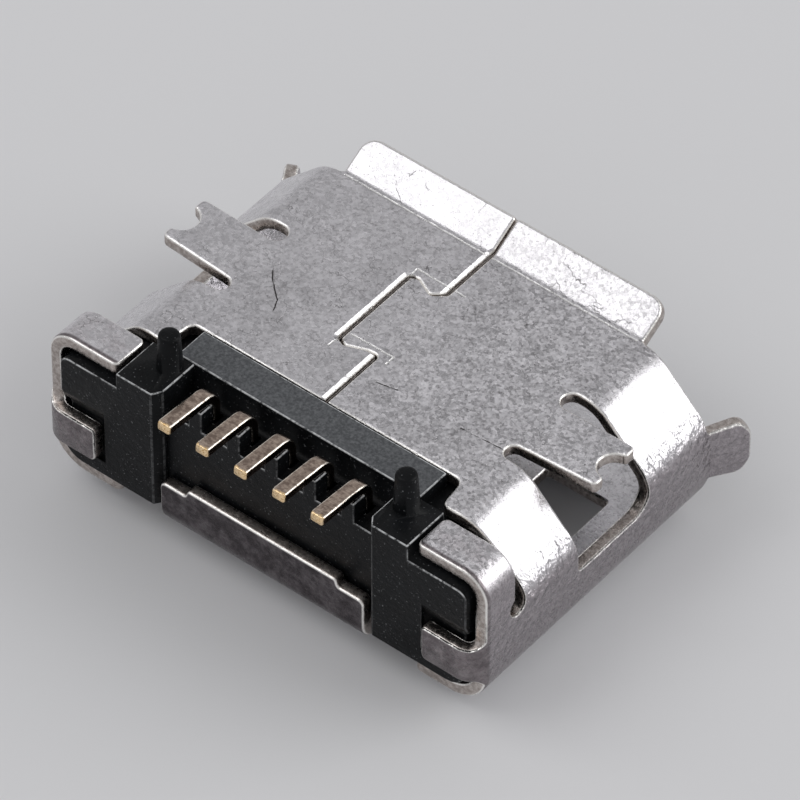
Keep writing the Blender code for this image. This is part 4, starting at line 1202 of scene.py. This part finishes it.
def moulding(name, colour):
    """Black moulded plastic: semi-gloss and finely textured, with pale specks, and pale edges that are partly
    rubbed and partly painted highlight, brightest where they face up.
    """
    made, tree, shader = new_material(name)
    place = datum_place(tree)
    _, y, z = separated(tree, place)
    cloud = noise(tree, place, 2.0, 4.0)
    grain = noise(tree, place, 26.0, 4.0, 0.65)
    peel = noise(tree, place, 8.0, 3.0)
    specks = spread(tree, noise(tree, place, 34.0, 1.0), 0.70, 0.76)
    on_strip = spread(tree, z, 0.0, STRIP_RISE - 0.005)
    on_strip = product(tree, on_strip, spread(tree, y, STRIP_REAR + 0.02, STRIP_REAR))
    rubbed_and_sheen = spread(tree, summed(tree, (grain, 0.5), (peel, 0.5)), 0.38, 0.54)
    # Painted highlight: the pale edges are brighter where they face up, towards the overhead light
    upward_sheen = spread(tree, normal_part(tree, 2), 0.2, 0.6, 0.12, 0.9)
    base = painted(
        tree,
        mix_colour(tree, spread(tree, cloud, 0.35, 0.65), shade(colour, 0.7), shade(colour, 1.4)),
        (product(tree, specks, 0.5), SPECK_COLOUR),
        (on_strip, mix_colour(tree, spread(tree, grain, 0.40, 0.66), *STRIP_FILM)),
        (product(tree, attribute(tree, "edge_wear_and_sheen"), rubbed_and_sheen, upward_sheen), RUBBED_AND_SHEEN_PLASTIC),
    )
    roughness = summed(tree, (grain, 0.30), (cloud, 0.15), (0.10, 1.0))
    feed_shader(tree, shader, base, roughness, summed(tree, (grain, 4.5), (peel, 9.0), (specks, 2.0)))
    shader.inputs["Specular IOR Level"].default_value = 0.12
    return made


def gold_plate(name, colour):
    """Thin gold over copper alloy: brownish with rolling lines on its faces, a painted shade on the sides, a
    painted highlight along the rounded edges, and bright gold at the tips.
    """
    made, tree, shader = new_material(name)
    place = datum_place(tree)
    across, through = (math_node(tree, "ABSOLUTE", attribute(tree, side)) for side in ("across", "through"))
    mottle = noise(tree, place, 11.0, 4.0, 0.65)
    grain = noise(tree, place, 38.0, 3.0, 0.6)
    rolled = noise(tree, vector_math(tree, "MULTIPLY", place, (6.0, 55.0, 55.0)), 1.0, 3.0)
    # Painted shade on the faces that look sideways
    shaded_side = spread(tree, math_node(tree, "ABSOLUTE", normal_part(tree, 0)), 0.8, 0.95)
    # Painted highlight along the rounded edges of the contacts, broken up by the mottle
    corner = product(
        tree,
        spread(tree, across, 0.72, 0.86),
        spread(tree, through, 0.60, 0.8),
        spread(tree, mottle, 0.33, 0.46),
    )
    torn = summed(tree, (attribute(tree, "along"), 1.0), (mottle, 0.14), (grain, 0.06))
    tip = spread(tree, torn, 0.145, 0.115)
    base = painted(
        tree,
        mix_colour(tree, spread(tree, mottle, 0.40, 0.60), *ALLOY_FILM),
        (product(tree, spread(tree, rolled, 0.40, 0.62), 0.5), ROLLING_LINE),
        (product(tree, shaded_side, 0.8), PAINTED_SIDE_SHADE),
        (corner, PAINTED_EDGE_HIGHLIGHT),
        (tip, mix_colour(tree, spread(tree, grain, 0.36, 0.48), TORN_GOLD, shade(colour, 1.25))),
    )
    roughness = summed(tree, (mottle, 0.12), (grain, 0.12), (0.05, 1.0))
    relief = summed(tree, (mottle, 7.0), (rolled, 1.4), (product(tree, grain, tip), 9.0))
    feed_shader(tree, shader, base, roughness, relief)
    shader.inputs["Metallic"].default_value = 1.0
    return made


# Settings


class ShellSettings(bpy.types.PropertyGroup):
    """Sizes and colour of the folded shell."""

    seam_gap: bpy.props.FloatProperty(
        name="Seam gap", description="Width of the seam in the board face, in millimetres",
        default=0.03, min=0.005,
    )
    edge_radius: bpy.props.FloatProperty(
        name="Edge rounding", description="Radius of the sheet's cut edges, in millimetres",
        default=0.045, min=0.005,
    )
    colour: bpy.props.FloatVectorProperty(
        name="Plating", description="Colour of the plated sheet",
        subtype="COLOR", default=(0.68, 0.665, 0.685),
    )


class HousingSettings(bpy.types.PropertyGroup):
    """Sizes and colour of the moulded housing."""

    edge_radius: bpy.props.FloatProperty(
        name="Edge rounding", description="Radius of the moulded edges, in millimetres",
        default=0.02, min=0.005,
    )
    colour: bpy.props.FloatVectorProperty(
        name="Plastic", description="Colour of the moulding",
        subtype="COLOR", default=(0.005, 0.0055, 0.0063),
    )


class ContactSettings(bpy.types.PropertyGroup):
    """Sizes and colour of the contacts."""

    count: bpy.props.IntProperty(
        name="Contacts", description="How many contacts stand in the row",
        default=CONTACT_COUNT, min=1,
    )
    pitch: bpy.props.FloatProperty(
        name="Pitch", description="Distance between two contacts, in millimetres",
        default=CONTACT_PITCH, min=0.4,
    )
    width: bpy.props.FloatProperty(
        name="Tail width", description="Width of a contact's tail, in millimetres",
        default=TAIL_WIDTH, min=0.05,
    )
    edge_radius: bpy.props.FloatProperty(
        name="Edge rounding", description="Radius of the stamped edges, in millimetres",
        default=0.028, min=0.002,
    )
    colour: bpy.props.FloatVectorProperty(
        name="Gold", description="Colour of the gold plate",
        subtype="COLOR", default=(0.80, 0.60, 0.36),
    )


class StudioSettings(bpy.types.PropertyGroup):
    """The floor and the light."""

    floor_colour: bpy.props.FloatVectorProperty(
        name="Floor", description="Colour of the plain floor",
        subtype="COLOR", default=(0.72, 0.72, 0.73),
    )
    key_watts: bpy.props.FloatProperty(
        name="Key light", description="Power of the low softbox beside the shell",
        default=0.09, unit="POWER",
    )
    overhead_watts: bpy.props.FloatProperty(
        name="Overhead light", description="Power of the high softbox behind the mouth",
        default=0.07, unit="POWER",
    )
    sky_strength: bpy.props.FloatProperty(
        name="Surrounding light", description="Strength of the even light from all round",
        default=0.9, min=0.0,
    )


# Operators


class SOCKET_OT_shell(bpy.types.Operator):
    """Fold the plated shell from its flat blank"""

    bl_idname = "socket.shell"
    bl_label = "Shell"

    def execute(self, context):
        chosen = context.scene.socket_shell
        mesh = shell_mesh(chosen.seam_gap, chosen.edge_radius)
        add_piece("shell_skin", mesh, ["shell"], plated_sheet("plated_sheet", chosen.colour))
        return {"FINISHED"}


class SOCKET_OT_housing(bpy.types.Operator):
    """Mould the black housing"""

    bl_idname = "socket.housing"
    bl_label = "Housing"

    def execute(self, context):
        chosen = context.scene.socket_housing
        mesh = housing_mesh(chosen.edge_radius)
        add_piece("housing_skin", mesh, ["housing"], moulding("moulding", chosen.colour))
        return {"FINISHED"}


class SOCKET_OT_contacts(bpy.types.Operator):
    """Stamp and bend the row of contacts"""

    bl_idname = "socket.contacts"
    bl_label = "Contacts"

    def execute(self, context):
        chosen = context.scene.socket_contacts
        finish = gold_plate("gold_plate", chosen.colour)
        values = {
            "Count": chosen.count,
            "Pitch": chosen.pitch,
            "Thickness": CONTACT_THICKNESS,
            "Tail Width": chosen.width,
            "Beam Width": BEAM_WIDTH,
            "Beam Front": LEG_FRONT - CONTACT_BEND_RADIUS,
            "Edge Radius": chosen.edge_radius,
            "Tip Rounding": TAIL_TIP_ROUNDING,
            "Finish": finish,
        }
        mesh = applied(contact_line(), contact_row_nodes(), values)
        add_piece("contact_row", mesh, CONTACT_NODES, finish)
        return {"FINISHED"}


def add_camera():
    """A camera at the photograph's viewpoint."""
    right = Vector((math.cos(VIEW_AZIMUTH), math.sin(VIEW_AZIMUTH), 0))
    level = Vector((math.sin(VIEW_AZIMUTH), -math.cos(VIEW_AZIMUTH), 0))
    back = level * math.cos(VIEW_ELEVATION) + Vector((0, 0, math.sin(VIEW_ELEVATION)))
    up = back.cross(right)
    spot = back * VIEW_DISTANCE - right * VIEW_OFFSET_RIGHT - up * VIEW_OFFSET_UP
    data = bpy.data.cameras.new("photograph_view")
    data.sensor_width = SENSOR
    data.lens = VIEW_FOCAL_PIXELS * SENSOR / VIEW_PIXELS
    data.clip_start = VIEW_DISTANCE * MM * NEAREST_SHOWN
    data.clip_end = VIEW_DISTANCE * MM * FARTHEST_SHOWN
    camera = add_object("photograph_view", data)
    turn = Matrix((right, up, back)).transposed().to_4x4()
    camera.matrix_world = Matrix.Translation(PLACE @ spot) @ turn
    bpy.context.scene.camera = camera


def add_softbox(name, direction, distance, size, watts):
    """A square softbox that lights the socket from this direction."""
    data = bpy.data.lights.new(name, "AREA")
    data.shape = "SQUARE"
    data.size = size
    data.energy = watts
    light = add_object(name, data)
    towards = Vector(direction).normalized()
    turn = towards.to_track_quat("Z", "Y").to_matrix().to_4x4()
    light.matrix_world = Matrix.Translation(towards * distance) @ turn


class SOCKET_OT_studio(bpy.types.Operator):
    """Set up the floor, the soft light and the camera"""

    bl_idname = "socket.studio"
    bl_label = "Studio"

    def execute(self, context):
        chosen = context.scene.socket_studio
        shape = bmesh.new()
        bmesh.ops.create_grid(shape, x_segments=1, y_segments=1, size=FLOOR_REACH)
        mesh = as_mesh(bpy.data.meshes.new("floor"), shape)
        floor = add_object("floor", mesh)
        finish, _, shader = new_material("floor_paper")
        shader.inputs["Base Color"].default_value = (*chosen.floor_colour, 1)
        shader.inputs["Roughness"].default_value = 0.9
        mesh.materials.append(finish)
        world = bpy.data.worlds.new("studio")
        world.use_nodes = True
        sky = world.node_tree.nodes["Background"]
        sky.inputs["Color"].default_value = SURROUNDING
        sky.inputs["Strength"].default_value = chosen.sky_strength
        context.scene.world = world
        add_softbox("key", *KEY_LIGHT, chosen.key_watts)
        add_softbox("overhead", *OVERHEAD_LIGHT, chosen.overhead_watts)
        add_camera()
        context.scene.view_settings.view_transform = "Standard"
        return {"FINISHED"}


class SOCKET_PT_sidebar(bpy.types.Panel):
    bl_label = "Micro USB Socket"
    bl_idname = "SOCKET_PT_sidebar"
    bl_space_type = "VIEW_3D"
    bl_region_type = "UI"
    bl_category = "Socket"

    def draw(self, context):
        scene = context.scene
        for operator, settings in (
            (SOCKET_OT_shell, scene.socket_shell),
            (SOCKET_OT_housing, scene.socket_housing),
            (SOCKET_OT_contacts, scene.socket_contacts),
            (SOCKET_OT_studio, scene.socket_studio),
        ):
            box = self.layout.box()
            for name in settings.__annotations__:
                box.prop(settings, name)
            box.operator(operator.bl_idname)


SETTINGS = {
    "socket_shell": ShellSettings,
    "socket_housing": HousingSettings,
    "socket_contacts": ContactSettings,
    "socket_studio": StudioSettings,
}
CLASSES = (
    *SETTINGS.values(),
    SOCKET_OT_shell,
    SOCKET_OT_housing,
    SOCKET_OT_contacts,
    SOCKET_OT_studio,
    SOCKET_PT_sidebar,
)


def register():
    for kind in CLASSES:
        bpy.utils.register_class(kind)
    for name, kind in SETTINGS.items():
        setattr(bpy.types.Scene, name, bpy.props.PointerProperty(type=kind))


def unregister():
    for name in SETTINGS:
        delattr(bpy.types.Scene, name)
    for kind in reversed(CLASSES):
        bpy.utils.unregister_class(kind)


def main():
    register()
    bpy.ops.socket.studio()
    bpy.ops.socket.shell()
    bpy.ops.socket.housing()
    bpy.ops.socket.contacts()


if __name__ == "__main__":
    main()
